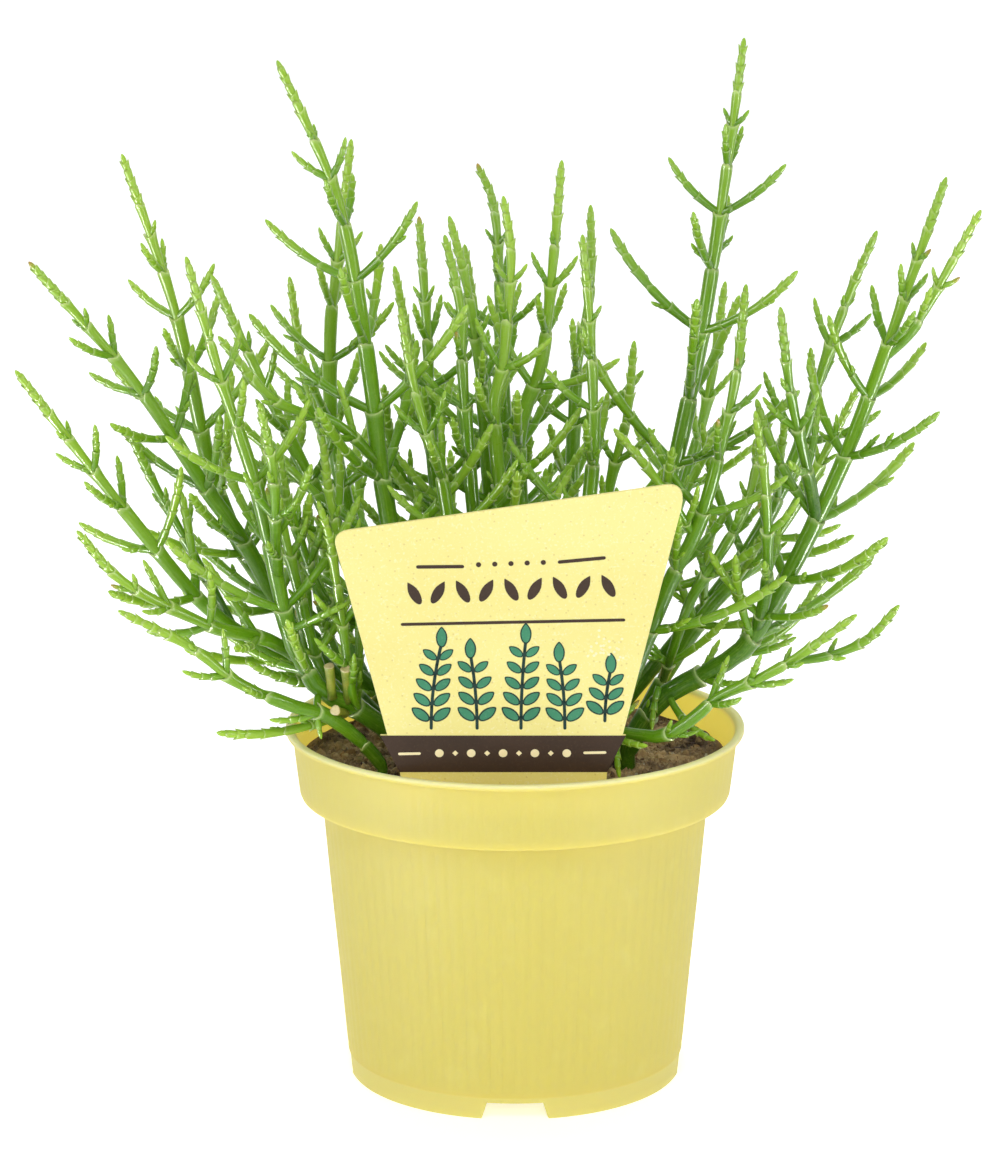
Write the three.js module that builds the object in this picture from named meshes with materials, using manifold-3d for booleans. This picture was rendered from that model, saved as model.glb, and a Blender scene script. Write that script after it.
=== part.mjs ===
// Saltwort grown in a plastic nursery pot, with a card standing behind the front rim.
// Millimetres, +Z up. The front of the pot faces -Y.
import * as THREE from "three";
import { mergeVertices } from "three/addons/utils/BufferGeometryUtils.js";
import Module from "manifold-3d";

const wasm = await Module();
wasm.setup();

// Pot
const POT_HEIGHT = 94;
const RIM_R = 60;
const BASE_R = 43.8;
const BAND_LOW_Z = 75.8;
const BAND_LOW_R = 56.4;
const BAND_TOP_R = 58.2;
const BODY_TOP_R = 50.7;
const WALL = 1.2;
const FOOT_HEIGHT = 5;
const FOOT_WIDTH = 2.1;
const LIP_HEIGHT = 1.6;
const POT_SIDES = 32;
const NOTCH_WIDTH = 17;
const NOTCH_HEIGHT = 4.5;
const NOTCH_COUNT = 4;
const DRAIN_R = 4;
const DRAIN_RING_R = 27;
const DRAIN_COUNT = 6;

// Soil
const SOIL_Z = 86;
const SOIL_GAP = 0.5;
const SOIL_SIDES = 16;
const LUMP = 0.7;

// Card
const CARD_THICK = 0.8;
const CARD_Y = -46.8;
const CARD_LEAN = 0.136;
const CARD_FOOT_Z = 77;

// Stems: a spike of short joints at the tip, then longer and longer internodes.
const SPIKE_JOINTS = 6;
const SPIKE_STEP = 2.35;
const FIRST_INTERNODE = 8.3;
const INTERNODE_GAIN = 2;
const LONGEST_INTERNODE = 17.5;
const ROOT_Z = 78.5;
const COLLAR_Z = 89.5;
const STEP = 1.5;
const STEM_GAP = 0.9;
const BRANCH_MIN = 16;
const SHORTEST_BRANCH = 6;
const BRANCH_GAIN = 7;
const LONGEST_BRANCH = 41;
const STEM_SIDES = 5;
const BRANCH_SIDES = 4;
const HOLE_GAP = 0.35;
const HOLE_SIDES = 5;

// Each stem: foot on the soil, points up to the tip, thickness, reach of its branches, turn of the
// first pair of branches in degrees, and the height below which it is bare. A bough is a thick
// fork that starts on its stem.
const STEMS = [
  {
    name: "stem_far_left", foot: [-31, -2], girth: 1.9, reach: 0.9, turn: -17, bare: 122,
    via: [[-65, -8, 116], [-80, -13, 129], [-98, -18, 153], [-126, -22, 192]],
  },
  {
    name: "stem_low_left", foot: [-29, -13], girth: 1.9, reach: 0.9, turn: 73, bare: 120,
    via: [[-58, -22, 119], [-77, -32, 128], [-98, -42, 142], [-109, -46, 156]],
  },
  {
    name: "stem_rim_left", foot: [-34, -27], girth: 1.9, reach: 0.7, turn: 28, bare: 108,
    via: [[-46, -34, 104], [-57, -38, 109], [-70, -42, 116], [-81, -46, 126], [-99, -48, 136]],
  },
  {
    name: "stem_long_left", foot: [-33, 8], girth: 2.2, reach: 0.9, turn: 60, bare: 104,
    via: [[-56, 2, 116], [-70, 0, 142], [-79, -2, 156], [-97, -8, 186], [-123, -12, 218]],
  },
  {
    name: "stem_tall_left", foot: [-30, 20], girth: 2.3, reach: 0.9, turn: 73, bare: 110,
    via: [[-62, 16, 122], [-78, 14, 153], [-88, 14, 200], [-101, 12, 242]],
  },
  {
    name: "stem_thick_left", foot: [-24, -20], girth: 2.9, reach: 0.9, turn: 35, bare: 104,
    via: [
      [-42, -26.5, 106], [-48.5, -30, 109.5], [-52.8, -30.5, 116], [-57.5, -31, 127], [-65, -30, 163],
      [-74, -29, 192], [-82, -28, 222],
    ],
    boughs: [
      { girth: 1.7, reach: 0.7, turn: -17, via: [[-60, -31, 141], [-60, -38, 154], [-60, -44, 170], [-63, -49, 189]] },
      {
        girth: 1.8, reach: 0.7, turn: 28,
        via: [[-45, -28, 108], [-50.5, -24, 116], [-54.3, -23, 131], [-58, -22, 147], [-61.6, -21, 163], [-64, -20.5, 176]],
      },
    ],
  },
  {
    name: "stem_mid_left", foot: [-23, 0], girth: 2, reach: 0.85, turn: -17, bare: 112,
    via: [[-40, 0, 128], [-48, 0, 148], [-58, 2, 169], [-69, 4, 192], [-78, 4, 212]],
  },
  {
    name: "stem_tall_mid", foot: [-16, -10], girth: 2.5, reach: 1, turn: -17, bare: 112,
    via: [[-29, -12, 135], [-34, -12, 162], [-37, -11, 189], [-42, -8, 221], [-47, -6, 239], [-60, -4, 268]],
    boughs: [
      { girth: 1.6, reach: 0.6, turn: -17, via: [[-34, -12, 165], [-45, -17, 177], [-61, -20, 184], [-75, -18, 200]] },
    ],
  },
  {
    name: "stem_back_left", foot: [-22, 30], girth: 2.1, reach: 0.9, turn: -17, bare: 112,
    via: [[-40, 32, 130], [-48, 34, 161], [-49, 38, 189], [-47, 40, 209], [-43, 40, 242]],
  },
  {
    name: "stem_centre_left", foot: [-14, 15], girth: 2, reach: 0.9, turn: 73, bare: 126,
    via: [[-21, 20, 155], [-23, 22, 194], [-25, 24, 224]],
  },
  {
    name: "stem_front_mid", foot: [-9, -22], girth: 2.1, reach: 1, turn: -17, bare: 124,
    via: [[-18, -20, 160], [-22, -20, 174], [-26, -18, 189], [-29, -16, 207]],
  },
  {
    name: "stem_back_mid", foot: [-8, 32], girth: 2, reach: 0.9, turn: -17, bare: 126,
    via: [[-24, 38, 167], [-29, 42, 191], [-32, 42, 208]],
  },
  {
    name: "stem_centre_a", foot: [-3, 10], girth: 2, reach: 0.9, turn: -17, bare: 128,
    via: [[-8, 10, 173], [-12, 12, 205], [-17, 12, 226]],
  },
  {
    name: "stem_centre_b", foot: [-6, -3], girth: 1.9, reach: 0.85, turn: 73, bare: 130,
    via: [[-13, -4, 181], [-14, -2, 204], [-18, 0, 223]],
  },
  {
    name: "stem_back_a", foot: [3, 38], girth: 2.1, reach: 0.9, turn: 73, bare: 126,
    via: [[-3, 44, 171], [-5, 44, 219], [-10, 44, 235]],
  },
  {
    name: "stem_centre_c", foot: [4, -6], girth: 2.2, reach: 0.9, turn: 73, bare: 130,
    via: [[-5, -4, 170], [-3, -2, 190], [-1, 0, 216], [-3, 0, 233]],
  },
  {
    name: "stem_centre_d", foot: [7, 6], girth: 2.2, reach: 0.9, turn: -17, bare: 130,
    via: [[1, 4, 164], [7, 6, 189], [10, 7, 217], [12, 8, 241]],
  },
  {
    name: "stem_back_b", foot: [14, 34], girth: 2, reach: 0.9, turn: -17, bare: 126,
    via: [[16, 42, 172], [20, 44, 201], [20, 44, 224]],
  },
  {
    name: "stem_front_right", foot: [12, -20], girth: 2.1, reach: 0.9, turn: 73, bare: 130,
    via: [[19, -14, 157], [20, -14, 175], [19, -12, 202], [17, -12, 225]],
  },
  {
    name: "stem_tallest", foot: [17, -7], girth: 2.5, reach: 1, turn: 73, bare: 130,
    via: [[36, -4, 144], [42, -4, 168], [48, -2, 199], [54, 0, 241], [58, 2, 273]],
  },
  {
    name: "stem_right_front", foot: [22, -25], girth: 2.1, reach: 0.9, turn: -17, bare: 112,
    via: [[38, -24, 134], [47, -25, 154], [55, -24, 187], [58, -22, 214]],
  },
  {
    name: "stem_big_right", foot: [29, -13], girth: 3, reach: 1, turn: 40, bare: 112,
    via: [[38, -13, 104], [51, -14, 112], [61, -16, 121], [77, -16, 152], [90, -12, 183], [109, -8, 239]],
    boughs: [
      { girth: 1.9, reach: 0.8, turn: 73, via: [[94, -11, 193], [101, -13, 201], [109, -15, 216], [117, -17, 232]] },
      { girth: 1.8, reach: 0.8, turn: -17, via: [[77, -16, 152], [74, -24, 166], [69, -30, 188], [66, -32, 210]] },
      { girth: 1.8, reach: 0.8, turn: -17, via: [[62, -16, 123], [64, -26, 138], [63, -32, 163], [60, -34, 184]] },
      { girth: 1.6, reach: 0.7, turn: -17, via: [[51, -14, 112], [60, -2, 113], [72, 6, 119], [82, 10, 132]] },
    ],
  },
  {
    name: "stem_back_right", foot: [26, 20], girth: 2.1, reach: 0.9, turn: -17, bare: 110,
    via: [[60, 24, 132], [75, 28, 161], [81, 30, 182], [88, 32, 202], [95, 32, 219]],
  },
  {
    name: "stem_mid_right", foot: [31, 3], girth: 2.2, reach: 0.9, turn: 73, bare: 110,
    via: [[49, 2, 122], [65, 4, 139], [77, 6, 158], [89, 8, 182]],
  },
  {
    name: "stem_low_right", foot: [12, -30], girth: 1.7, reach: 0.6, turn: -17, bare: 112,
    via: [
      [18, -32, 98.5], [27.4, -34, 100.8], [33.7, -37, 100.2], [39.7, -40, 102.4], [45.6, -42, 107.1],
      [51, -44, 112.6], [62, -48, 119], [71, -50, 125], [85, -52, 136],
    ],
    boughs: [
      { girth: 1.3, reach: 0.6, turn: 73, via: [[68, -49, 123], [78, -47, 124], [88, -46, 128], [96, -46, 137]] },
    ],
  },
  {
    name: "stem_inner_left", foot: [-22, -11], girth: 1.8, reach: 0.8, turn: 28, bare: 112,
    via: [[-34, -12, 118], [-42, -13, 136], [-47, -15, 156], [-49, -17, 174]],
  },
  {
    name: "stem_inner_right", foot: [14, 12], girth: 1.8, reach: 0.8, turn: -17, bare: 124,
    via: [[24, 14, 150], [29, 14, 172], [31, 14, 193]],
  },
  {
    name: "stem_rear_left", foot: [-20, 42], girth: 2.2, reach: 0.9, turn: -17, bare: 115,
    via: [[-40, 62, 128], [-56, 76, 164], [-62, 84, 198]],
  },
  {
    name: "stem_rear_mid", foot: [3, 47], girth: 2.2, reach: 0.9, turn: 73, bare: 115,
    via: [[2, 70, 130], [-8, 88, 168], [-14, 96, 205]],
  },
  {
    name: "stem_rear_right", foot: [26, 38], girth: 2.2, reach: 0.9, turn: -17, bare: 115,
    via: [[40, 60, 126], [52, 78, 160], [58, 88, 196]],
  },
];

const UP = new THREE.Vector3(0, 0, 1);
const group = new THREE.Group();
group.name = "saltwort_in_pot";

// A closed solid from a geometry, without the triangles that shrink to a line at a pole.
function solid(geometry) {
  geometry.deleteAttribute("normal");
  geometry.deleteAttribute("uv");
  const merged = mergeVertices(geometry, 1e-4);
  const index = merged.index.array;
  const tris = [];
  for (let i = 0; i < index.length; i += 3) {
    const [a, b, c] = [index[i], index[i + 1], index[i + 2]];
    if (a !== b && b !== c && a !== c) {
      tris.push(a, b, c);
    }
  }
  return fromArrays(merged.attributes.position.array, tris);
}

function fromArrays(points, tris) {
  return new wasm.Manifold(new wasm.Mesh({
    numProp: 3,
    vertProperties: Float32Array.from(points),
    triVerts: Uint32Array.from(tris),
  }));
}

// The largest body of a solid, as a flat-shaded mesh in the group.
function addNode(name, body, colour, roughness) {
  const pieces = body.decompose();
  pieces.sort((a, b) => b.volume() - a.volume());
  const mesh = pieces[0].getMesh();
  const geometry = new THREE.BufferGeometry();
  geometry.setAttribute("position", new THREE.BufferAttribute(Float32Array.from(mesh.vertProperties), 3));
  geometry.setIndex(Array.from(mesh.triVerts));
  const material = new THREE.MeshStandardMaterial({ color: colour, roughness, metalness: 0, flatShading: true });
  const node = new THREE.Mesh(geometry, material);
  node.name = name;
  group.add(node);
}

// A skin through rings of points, closed by a flat cap at each end or by a point at the far end.
function skin(rings, apex) {
  const sides = rings[0].length;
  const points = [];
  const tris = [];
  for (const ring of rings) {
    for (const p of ring) {
      points.push(p.x, p.y, p.z);
    }
  }
  for (let row = 0; row + 1 < rings.length; row += 1) {
    for (let i = 0; i < sides; i += 1) {
      const a = row * sides + i;
      const b = row * sides + ((i + 1) % sides);
      tris.push(a, b, b + sides, a, b + sides, a + sides);
    }
  }
  for (let i = 1; i + 1 < sides; i += 1) {
    tris.push(0, i + 1, i);
  }
  const last = (rings.length - 1) * sides;
  if (apex) {
    points.push(apex.x, apex.y, apex.z);
    for (let i = 0; i < sides; i += 1) {
      tris.push(last + i, last + ((i + 1) % sides), rings.length * sides);
    }
  } else {
    for (let i = 1; i + 1 < sides; i += 1) {
      tris.push(last, last + i, last + i + 1);
    }
  }
  return fromArrays(points, tris);
}

// A ring of points round a centre, across a direction, starting at the side vector.
function ring(centre, along, side, radius, sides) {
  const across = along.clone().cross(side);
  const points = [];
  for (let i = 0; i < sides; i += 1) {
    const turn = (2 * Math.PI * i) / sides;
    const p = centre.clone();
    p.addScaledVector(side, radius * Math.cos(turn));
    p.addScaledVector(across, radius * Math.sin(turn));
    points.push(p);
  }
  return points;
}

function squared(side, along) {
  return side.clone().addScaledVector(along, -side.dot(along)).normalize();
}

// Growth rule: distance between joint k and joint k + 1, counted from the tip.
function internode(k) {
  if (k < SPIKE_JOINTS) {
    return SPIKE_STEP;
  }
  return Math.min(LONGEST_INTERNODE, FIRST_INTERNODE + INTERNODE_GAIN * (k - SPIKE_JOINTS));
}

function stemRadius(girth, k) {
  return Math.min(girth, k < 7 ? 1 + 0.06 * k : 0.28 + 0.17 * k);
}

// A smooth line through the points of a stem, with the distance run at each place on it.
function smoothPath(points) {
  const end = points[points.length - 1].clone().multiplyScalar(2).sub(points[points.length - 2]);
  const all = [...points, end];
  const places = [all[1].clone()];
  const run = [0];
  for (let i = 1; i + 2 < all.length; i += 1) {
    const [a, b, c, d] = [all[i - 1], all[i], all[i + 1], all[i + 2]];
    const count = Math.max(1, Math.floor(b.distanceTo(c) / STEP + 0.5));
    for (let j = 1; j <= count; j += 1) {
      const t = j / count;
      const p = new THREE.Vector3();
      p.addScaledVector(a, 0.5 * (-t + 2 * t * t - t * t * t));
      p.addScaledVector(b, 0.5 * (2 - 5 * t * t + 3 * t * t * t));
      p.addScaledVector(c, 0.5 * (t + 4 * t * t - 3 * t * t * t));
      p.addScaledVector(d, 0.5 * (-t * t + t * t * t));
      run.push(run[run.length - 1] + p.distanceTo(places[places.length - 1]));
      places.push(p);
    }
  }
  return { places, run, length: run[run.length - 1] };
}

function placeAt(path, distance) {
  const s = Math.min(Math.max(distance, 0), path.length);
  let i = 1;
  while (i < path.run.length - 1 && path.run[i] < s) {
    i += 1;
  }
  const along = path.places[i].clone().sub(path.places[i - 1]);
  const part = (s - path.run[i - 1]) / (path.run[i] - path.run[i - 1]);
  const point = path.places[i - 1].clone().addScaledVector(along, part);
  return { point, along: along.normalize() };
}

// One stem or bough: its line, its joints from the tip down, and balls that fill it.
function growAxis(points, rule, owner) {
  const path = smoothPath(points);
  const joints = [];
  let gone = 0;
  let k = 0;
  while (gone + internode(k) < path.length - 4) {
    gone += internode(k);
    k += 1;
    joints.unshift({ s: path.length - gone, k, ...placeAt(path, path.length - gone) });
  }
  let side = new THREE.Vector3(1, 0, 0);
  for (const joint of joints) {
    side = squared(side, joint.along);
    joint.side = side;
  }
  joints.reverse();
  const balls = [];
  const count = Math.floor(path.length / STEP);
  for (let j = 0; j <= count; j += 1) {
    const s = (path.length * j) / count;
    const left = path.length - s;
    let near = 0;
    let passed = 0;
    while (passed + internode(near) < left) {
      passed += internode(near);
      near += 1;
    }
    balls.push({ p: placeAt(path, s).point, r: stemRadius(rule.girth, near + 1), owner });
  }
  return { path, joints, balls, rule, owner, branches: [] };
}

// A branch leaves along one direction and ends along another.
function bend(branch, q) {
  const p = branch.start.clone();
  p.addScaledVector(branch.leave, branch.length * (q - (q * q) / 2));
  p.addScaledVector(branch.arrive, (branch.length * q * q) / 2);
  return p;
}

function meetsCard(p, r) {
  const off = p.y - CARD_Y + (p.z - POT_HEIGHT) * CARD_LEAN;
  const half = 30 + Math.max(0, p.z - POT_HEIGHT) * 0.23;
  return Math.abs(off) < r + 1.2 && p.z < 172 && Math.abs(p.x + 1.5) < half + r + 1;
}

function meetsPot(p, r) {
  const out = Math.hypot(p.x, p.y);
  if (p.z - r < SOIL_Z + 0.8 && out < 58) {
    return true;
  }
  return p.z - r < POT_HEIGHT + 0.8 && out + r > 55.5 && out - r < 61;
}

function isClear(branch, balls, taken) {
  for (const ball of balls) {
    if (meetsCard(ball.p, ball.r) || meetsPot(ball.p, ball.r)) {
      return false;
    }
    const fromStart = ball.p.distanceTo(branch.start);
    for (const other of taken) {
      const gap = ball.p.distanceTo(other.p) - ball.r - other.r;
      if (other.owner !== ball.owner && gap < STEM_GAP) {
        return false;
      }
      if (other.owner === ball.owner && fromStart > 6 && gap < 0.6) {
        return false;
      }
    }
  }
  return true;
}

// Branches stand in pairs, each pair turned a quarter from the next one. A branch that would meet
// something is turned or shortened, and left out where nothing fits.
const TRIES = [[0, 1], [22, 1], [-22, 1], [0, 0.75], [40, 0.8], [-40, 0.8], [0, 0.55]];

function growBranches(axis, seed, bare, taken) {
  let state = seed;
  const random = () => {
    state = (state * 16807) % 2147483647;
    return state / 2147483647;
  };
  for (const joint of axis.joints) {
    if (joint.k <= SPIKE_JOINTS) {
      continue;
    }
    const back = joint.along.clone().cross(joint.side);
    for (const flip of [0, 180]) {
      const [turnDraw, lengthDraw, tiltDraw] = [random(), random(), random()];
      const full = Math.min(LONGEST_BRANCH, SHORTEST_BRANCH + BRANCH_GAIN * (joint.k - SPIKE_JOINTS - 1));
      const length = axis.rule.reach * (0.88 + 0.24 * lengthDraw) * full;
      if (length < BRANCH_MIN || joint.point.z < bare) {
        continue;
      }
      const base = axis.rule.turn + flip + (joint.k % 2 ? 90 : 0) + (turnDraw - 0.5) * 24;
      const tilt = THREE.MathUtils.degToRad(56 + 12 * tiltDraw);
      for (const [extra, part] of TRIES) {
        if (length * part < BRANCH_MIN) {
          continue;
        }
        const turn = THREE.MathUtils.degToRad(base + extra);
        const out = joint.side.clone().multiplyScalar(Math.cos(turn)).addScaledVector(back, Math.sin(turn));
        const leave = joint.along.clone().multiplyScalar(Math.cos(tilt)).addScaledVector(out, Math.sin(tilt));
        const arrive = joint.along.clone().multiplyScalar(0.6).addScaledVector(UP, 0.3);
        arrive.addScaledVector(out, 0.6).normalize();
        const radius = 0.85 + 0.012 * length * part;
        const branch = { start: joint.point, leave, arrive, length: length * part, radius, side: joint.along };
        const steps = Math.max(4, Math.floor(branch.length / STEP));
        const balls = [];
        for (let j = 1; j <= steps; j += 1) {
          const q = j / steps;
          balls.push({ p: bend(branch, q), r: radius * (1 - 0.45 * q), owner: axis.owner });
        }
        if (isClear(branch, balls, taken)) {
          axis.branches.push(branch);
          taken.push(...balls);
          break;
        }
      }
    }
  }
}

// Stem solid: a narrow neck above each joint and a wider collar below it, down into the soil.
function stemSolid(axis, rooted) {
  const rings = [];
  const { path, joints, rule } = axis;
  const thick = stemRadius(rule.girth, joints.length + 1);
  let side = new THREE.Vector3(1, 0, 0);
  if (rooted) {
    const foot = path.places[0];
    rings.push(ring(foot.clone().setZ(ROOT_Z), UP, side, thick, STEM_SIDES));
    rings.push(ring(foot, UP, side, thick, STEM_SIDES));
  } else {
    const first = placeAt(path, 0);
    side = squared(side, first.along);
    rings.push(ring(first.point, first.along, side, thick * 0.7, STEM_SIDES));
  }
  for (const joint of [...joints].reverse()) {
    const radius = stemRadius(rule.girth, joint.k);
    if (joint.k < 8) {
      continue;
    }
    side = squared(side, joint.along);
    const low = placeAt(path, joint.s - 0.5).point;
    const high = placeAt(path, joint.s + 1).point;
    rings.push(ring(low, joint.along, side, radius, STEM_SIDES));
    rings.push(ring(high, joint.along, side, radius * 0.72, STEM_SIDES));
  }
  const top = placeAt(path, path.length - 7);
  side = squared(side, top.along);
  rings.push(ring(top.point, top.along, side, stemRadius(rule.girth, 4), STEM_SIDES));
  return skin(rings, placeAt(path, path.length).point);
}

function branchSolid(branch) {
  const rings = [];
  let side = branch.side;
  const widths = branch.length < 30 ? [[0.02, 0.75], [0.62, 1]] : [[0.02, 0.7], [0.5, 1], [0.86, 0.8]];
  for (const [q, width] of widths) {
    const along = branch.leave.clone().multiplyScalar(1 - q).addScaledVector(branch.arrive, q).normalize();
    side = squared(side, along);
    rings.push(ring(bend(branch, q), along, side, branch.radius * width, BRANCH_SIDES));
  }
  return skin(rings, bend(branch, 1));
}

const plants = STEMS.map((stem, owner) => {
  const [x, y] = stem.foot;
  const rise = [new THREE.Vector3(x, y, SOIL_Z - 8), new THREE.Vector3(x, y, COLLAR_Z)];
  const points = [...rise, ...stem.via.map((p) => new THREE.Vector3(...p))];
  const axes = [growAxis(points, stem, owner)];
  for (const bough of stem.boughs ?? []) {
    const line = bough.via.map((p) => new THREE.Vector3(...p));
    const before = line[0].clone().multiplyScalar(2).sub(line[1]);
    axes.push(growAxis([before, ...line], bough, owner));
  }
  return { stem, axes };
});
const taken = plants.flatMap(({ axes }) => axes.flatMap((axis) => axis.balls));
let seed = 1043;
for (const { stem, axes } of plants) {
  for (const axis of axes) {
    growBranches(axis, seed, stem.bare, taken);
    seed += 733;
  }
}

// Pot: one turned shell with a rolled lip, a wide band, a stepped shoulder and a raised floor.
const potProfile = [
  [0, FOOT_HEIGHT],
  [BASE_R - FOOT_WIDTH, FOOT_HEIGHT],
  [BASE_R - FOOT_WIDTH, 0],
  [BASE_R, 0],
  [BASE_R + 0.45, FOOT_HEIGHT + 1],
  [BODY_TOP_R, BAND_LOW_Z],
  [BAND_LOW_R - 0.8, BAND_LOW_Z],
  [BAND_LOW_R, BAND_LOW_Z + 0.8],
  [BAND_TOP_R, POT_HEIGHT - LIP_HEIGHT],
  [RIM_R - 0.4, POT_HEIGHT - LIP_HEIGHT],
  [RIM_R, POT_HEIGHT - LIP_HEIGHT + 0.4],
  [RIM_R, POT_HEIGHT - 0.5],
  [RIM_R - 0.5, POT_HEIGHT],
  [RIM_R - 1.6, POT_HEIGHT],
  [BAND_TOP_R - WALL, POT_HEIGHT - LIP_HEIGHT],
  [BAND_LOW_R - WALL, BAND_LOW_Z + WALL + 0.4],
  [BODY_TOP_R - WALL, BAND_LOW_Z + WALL - 0.4],
  [BASE_R - WALL, FOOT_HEIGHT + WALL],
  [0, FOOT_HEIGHT + WALL],
];
const potPoints = potProfile.map(([r, z]) => new THREE.Vector2(r, z));
let pot = solid(new THREE.LatheGeometry(potPoints, POT_SIDES).rotateX(Math.PI / 2));
const notchShape = new THREE.Shape([
  new THREE.Vector2(-NOTCH_WIDTH / 2, -1),
  new THREE.Vector2(NOTCH_WIDTH / 2, -1),
  new THREE.Vector2(NOTCH_WIDTH / 2 - 0.4, NOTCH_HEIGHT - 1),
  new THREE.Vector2(NOTCH_WIDTH / 2 - 1.4, NOTCH_HEIGHT),
  new THREE.Vector2(-NOTCH_WIDTH / 2 + 1.4, NOTCH_HEIGHT),
  new THREE.Vector2(-NOTCH_WIDTH / 2 + 0.4, NOTCH_HEIGHT - 1),
]);
for (let i = 0; i < NOTCH_COUNT; i += 1) {
  const cut = new THREE.ExtrudeGeometry(notchShape, { depth: 12, bevelEnabled: false });
  cut.rotateX(Math.PI / 2);
  cut.translate(0, -BASE_R + 6, 0);
  cut.rotateZ((2 * Math.PI * i) / NOTCH_COUNT);
  pot = pot.subtract(solid(cut));
}
for (let i = 0; i < DRAIN_COUNT; i += 1) {
  const turn = (2 * Math.PI * (i + 0.5)) / DRAIN_COUNT;
  const drill = new THREE.CylinderGeometry(DRAIN_R, DRAIN_R, 6, 8).rotateX(Math.PI / 2);
  drill.translate(DRAIN_RING_R * Math.cos(turn), DRAIN_RING_R * Math.sin(turn), FOOT_HEIGHT + WALL / 2);
  pot = pot.subtract(solid(drill));
}
addNode("pot", pot, 0xe4d776, 0.42);

// Soil: fills the pot up to below the rim, lumpy on top, with a hole for each stem and a slot.
const soilProfile = [
  [BASE_R - WALL - 0.3 - SOIL_GAP, FOOT_HEIGHT + WALL + 0.4],
  [BODY_TOP_R - WALL - SOIL_GAP - 0.2, BAND_LOW_Z + WALL + 0.3],
  [BAND_LOW_R - WALL - SOIL_GAP - 0.3, BAND_LOW_Z + WALL + 1],
  [55.1, SOIL_Z - 0.6],
  [45, SOIL_Z],
  [32, SOIL_Z],
  [17, SOIL_Z],
];
let lumpState = 4242;
const soilRings = soilProfile.map(([r, z], row) => {
  const points = ring(new THREE.Vector3(0, 0, z), UP, new THREE.Vector3(1, 0, 0), r, SOIL_SIDES);
  for (const p of points) {
    lumpState = (lumpState * 16807) % 2147483647;
    p.z += row > 3 ? LUMP * (lumpState / 2147483647 - 0.6) : 0;
  }
  return points;
});
let soil = skin(soilRings, new THREE.Vector3(0, 0, SOIL_Z));
for (const { axes } of plants) {
  const foot = axes[0].path.places[0];
  const radius = stemRadius(axes[0].rule.girth, axes[0].joints.length + 1) + HOLE_GAP;
  const drill = new THREE.CylinderGeometry(radius * 1.24, radius * 1.24, 12, HOLE_SIDES).rotateX(Math.PI / 2);
  drill.translate(foot.x, foot.y, ROOT_Z - HOLE_GAP + 6);
  soil = soil.subtract(solid(drill));
}

// Card: a tapered plate with rounded upper corners, a wider band at the rim and a stake below.
const cardOutline = new THREE.Shape();
cardOutline.moveTo(-27, CARD_FOOT_Z);
cardOutline.lineTo(22, CARD_FOOT_Z);
cardOutline.lineTo(23.2, POT_HEIGHT);
cardOutline.lineTo(27.8, POT_HEIGHT + 10);
cardOutline.lineTo(27, POT_HEIGHT + 10);
cardOutline.lineTo(41.2, POT_HEIGHT + 72);
cardOutline.quadraticCurveTo(42.4, POT_HEIGHT + 77.6, 38.6, POT_HEIGHT + 77);
cardOutline.lineTo(-41, POT_HEIGHT + 65);
cardOutline.quadraticCurveTo(-45.2, POT_HEIGHT + 64.3, -44.2, POT_HEIGHT + 60.5);
cardOutline.lineTo(-32, POT_HEIGHT + 10);
cardOutline.lineTo(-33.8, POT_HEIGHT + 10);
cardOutline.lineTo(-29, POT_HEIGHT);
cardOutline.closePath();
function cardPlate(thick) {
  const plate = new THREE.ExtrudeGeometry(cardOutline, { depth: thick, bevelEnabled: false, curveSegments: 4 });
  plate.translate(0, -POT_HEIGHT, -thick / 2);
  plate.rotateX(Math.PI / 2 + Math.atan(CARD_LEAN));
  plate.translate(0, CARD_Y, POT_HEIGHT);
  return solid(plate);
}
addNode("label", cardPlate(CARD_THICK), 0xf3e6a0, 0.55);
const slot = new THREE.BoxGeometry(56, CARD_THICK + 1.2, 24);
slot.rotateX(Math.atan(CARD_LEAN));
slot.translate(-2.5, CARD_Y + 8 * CARD_LEAN, POT_HEIGHT - 6);
soil = soil.subtract(solid(slot));
addNode("soil", soil, 0x3b2a20, 0.95);

for (const { stem, axes } of plants) {
  const solids = [];
  axes.forEach((axis, i) => {
    solids.push(stemSolid(axis, i === 0));
    solids.push(...axis.branches.map(branchSolid));
  });
  addNode(stem.name, wasm.Manifold.union(solids).simplify(0.03), 0x6f9a3c, 0.38);
}

// The part stands on z = 0 with the middle of its outline box on the axis.
const box = new THREE.Box3().setFromObject(group);
const middle = box.getCenter(new THREE.Vector3());
for (const node of group.children) {
  node.geometry.translate(-middle.x, -middle.y, -box.min.z);
}

export default group;
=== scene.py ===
# Saltwort in a nursery pot with a card behind the front rim. Lengths are millimetres from the
# middle of the pot's underside until they are put into the frame, which is in metres.
import bpy
import bmesh
import math
import numpy as np
from mathutils import Matrix, Vector


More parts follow.
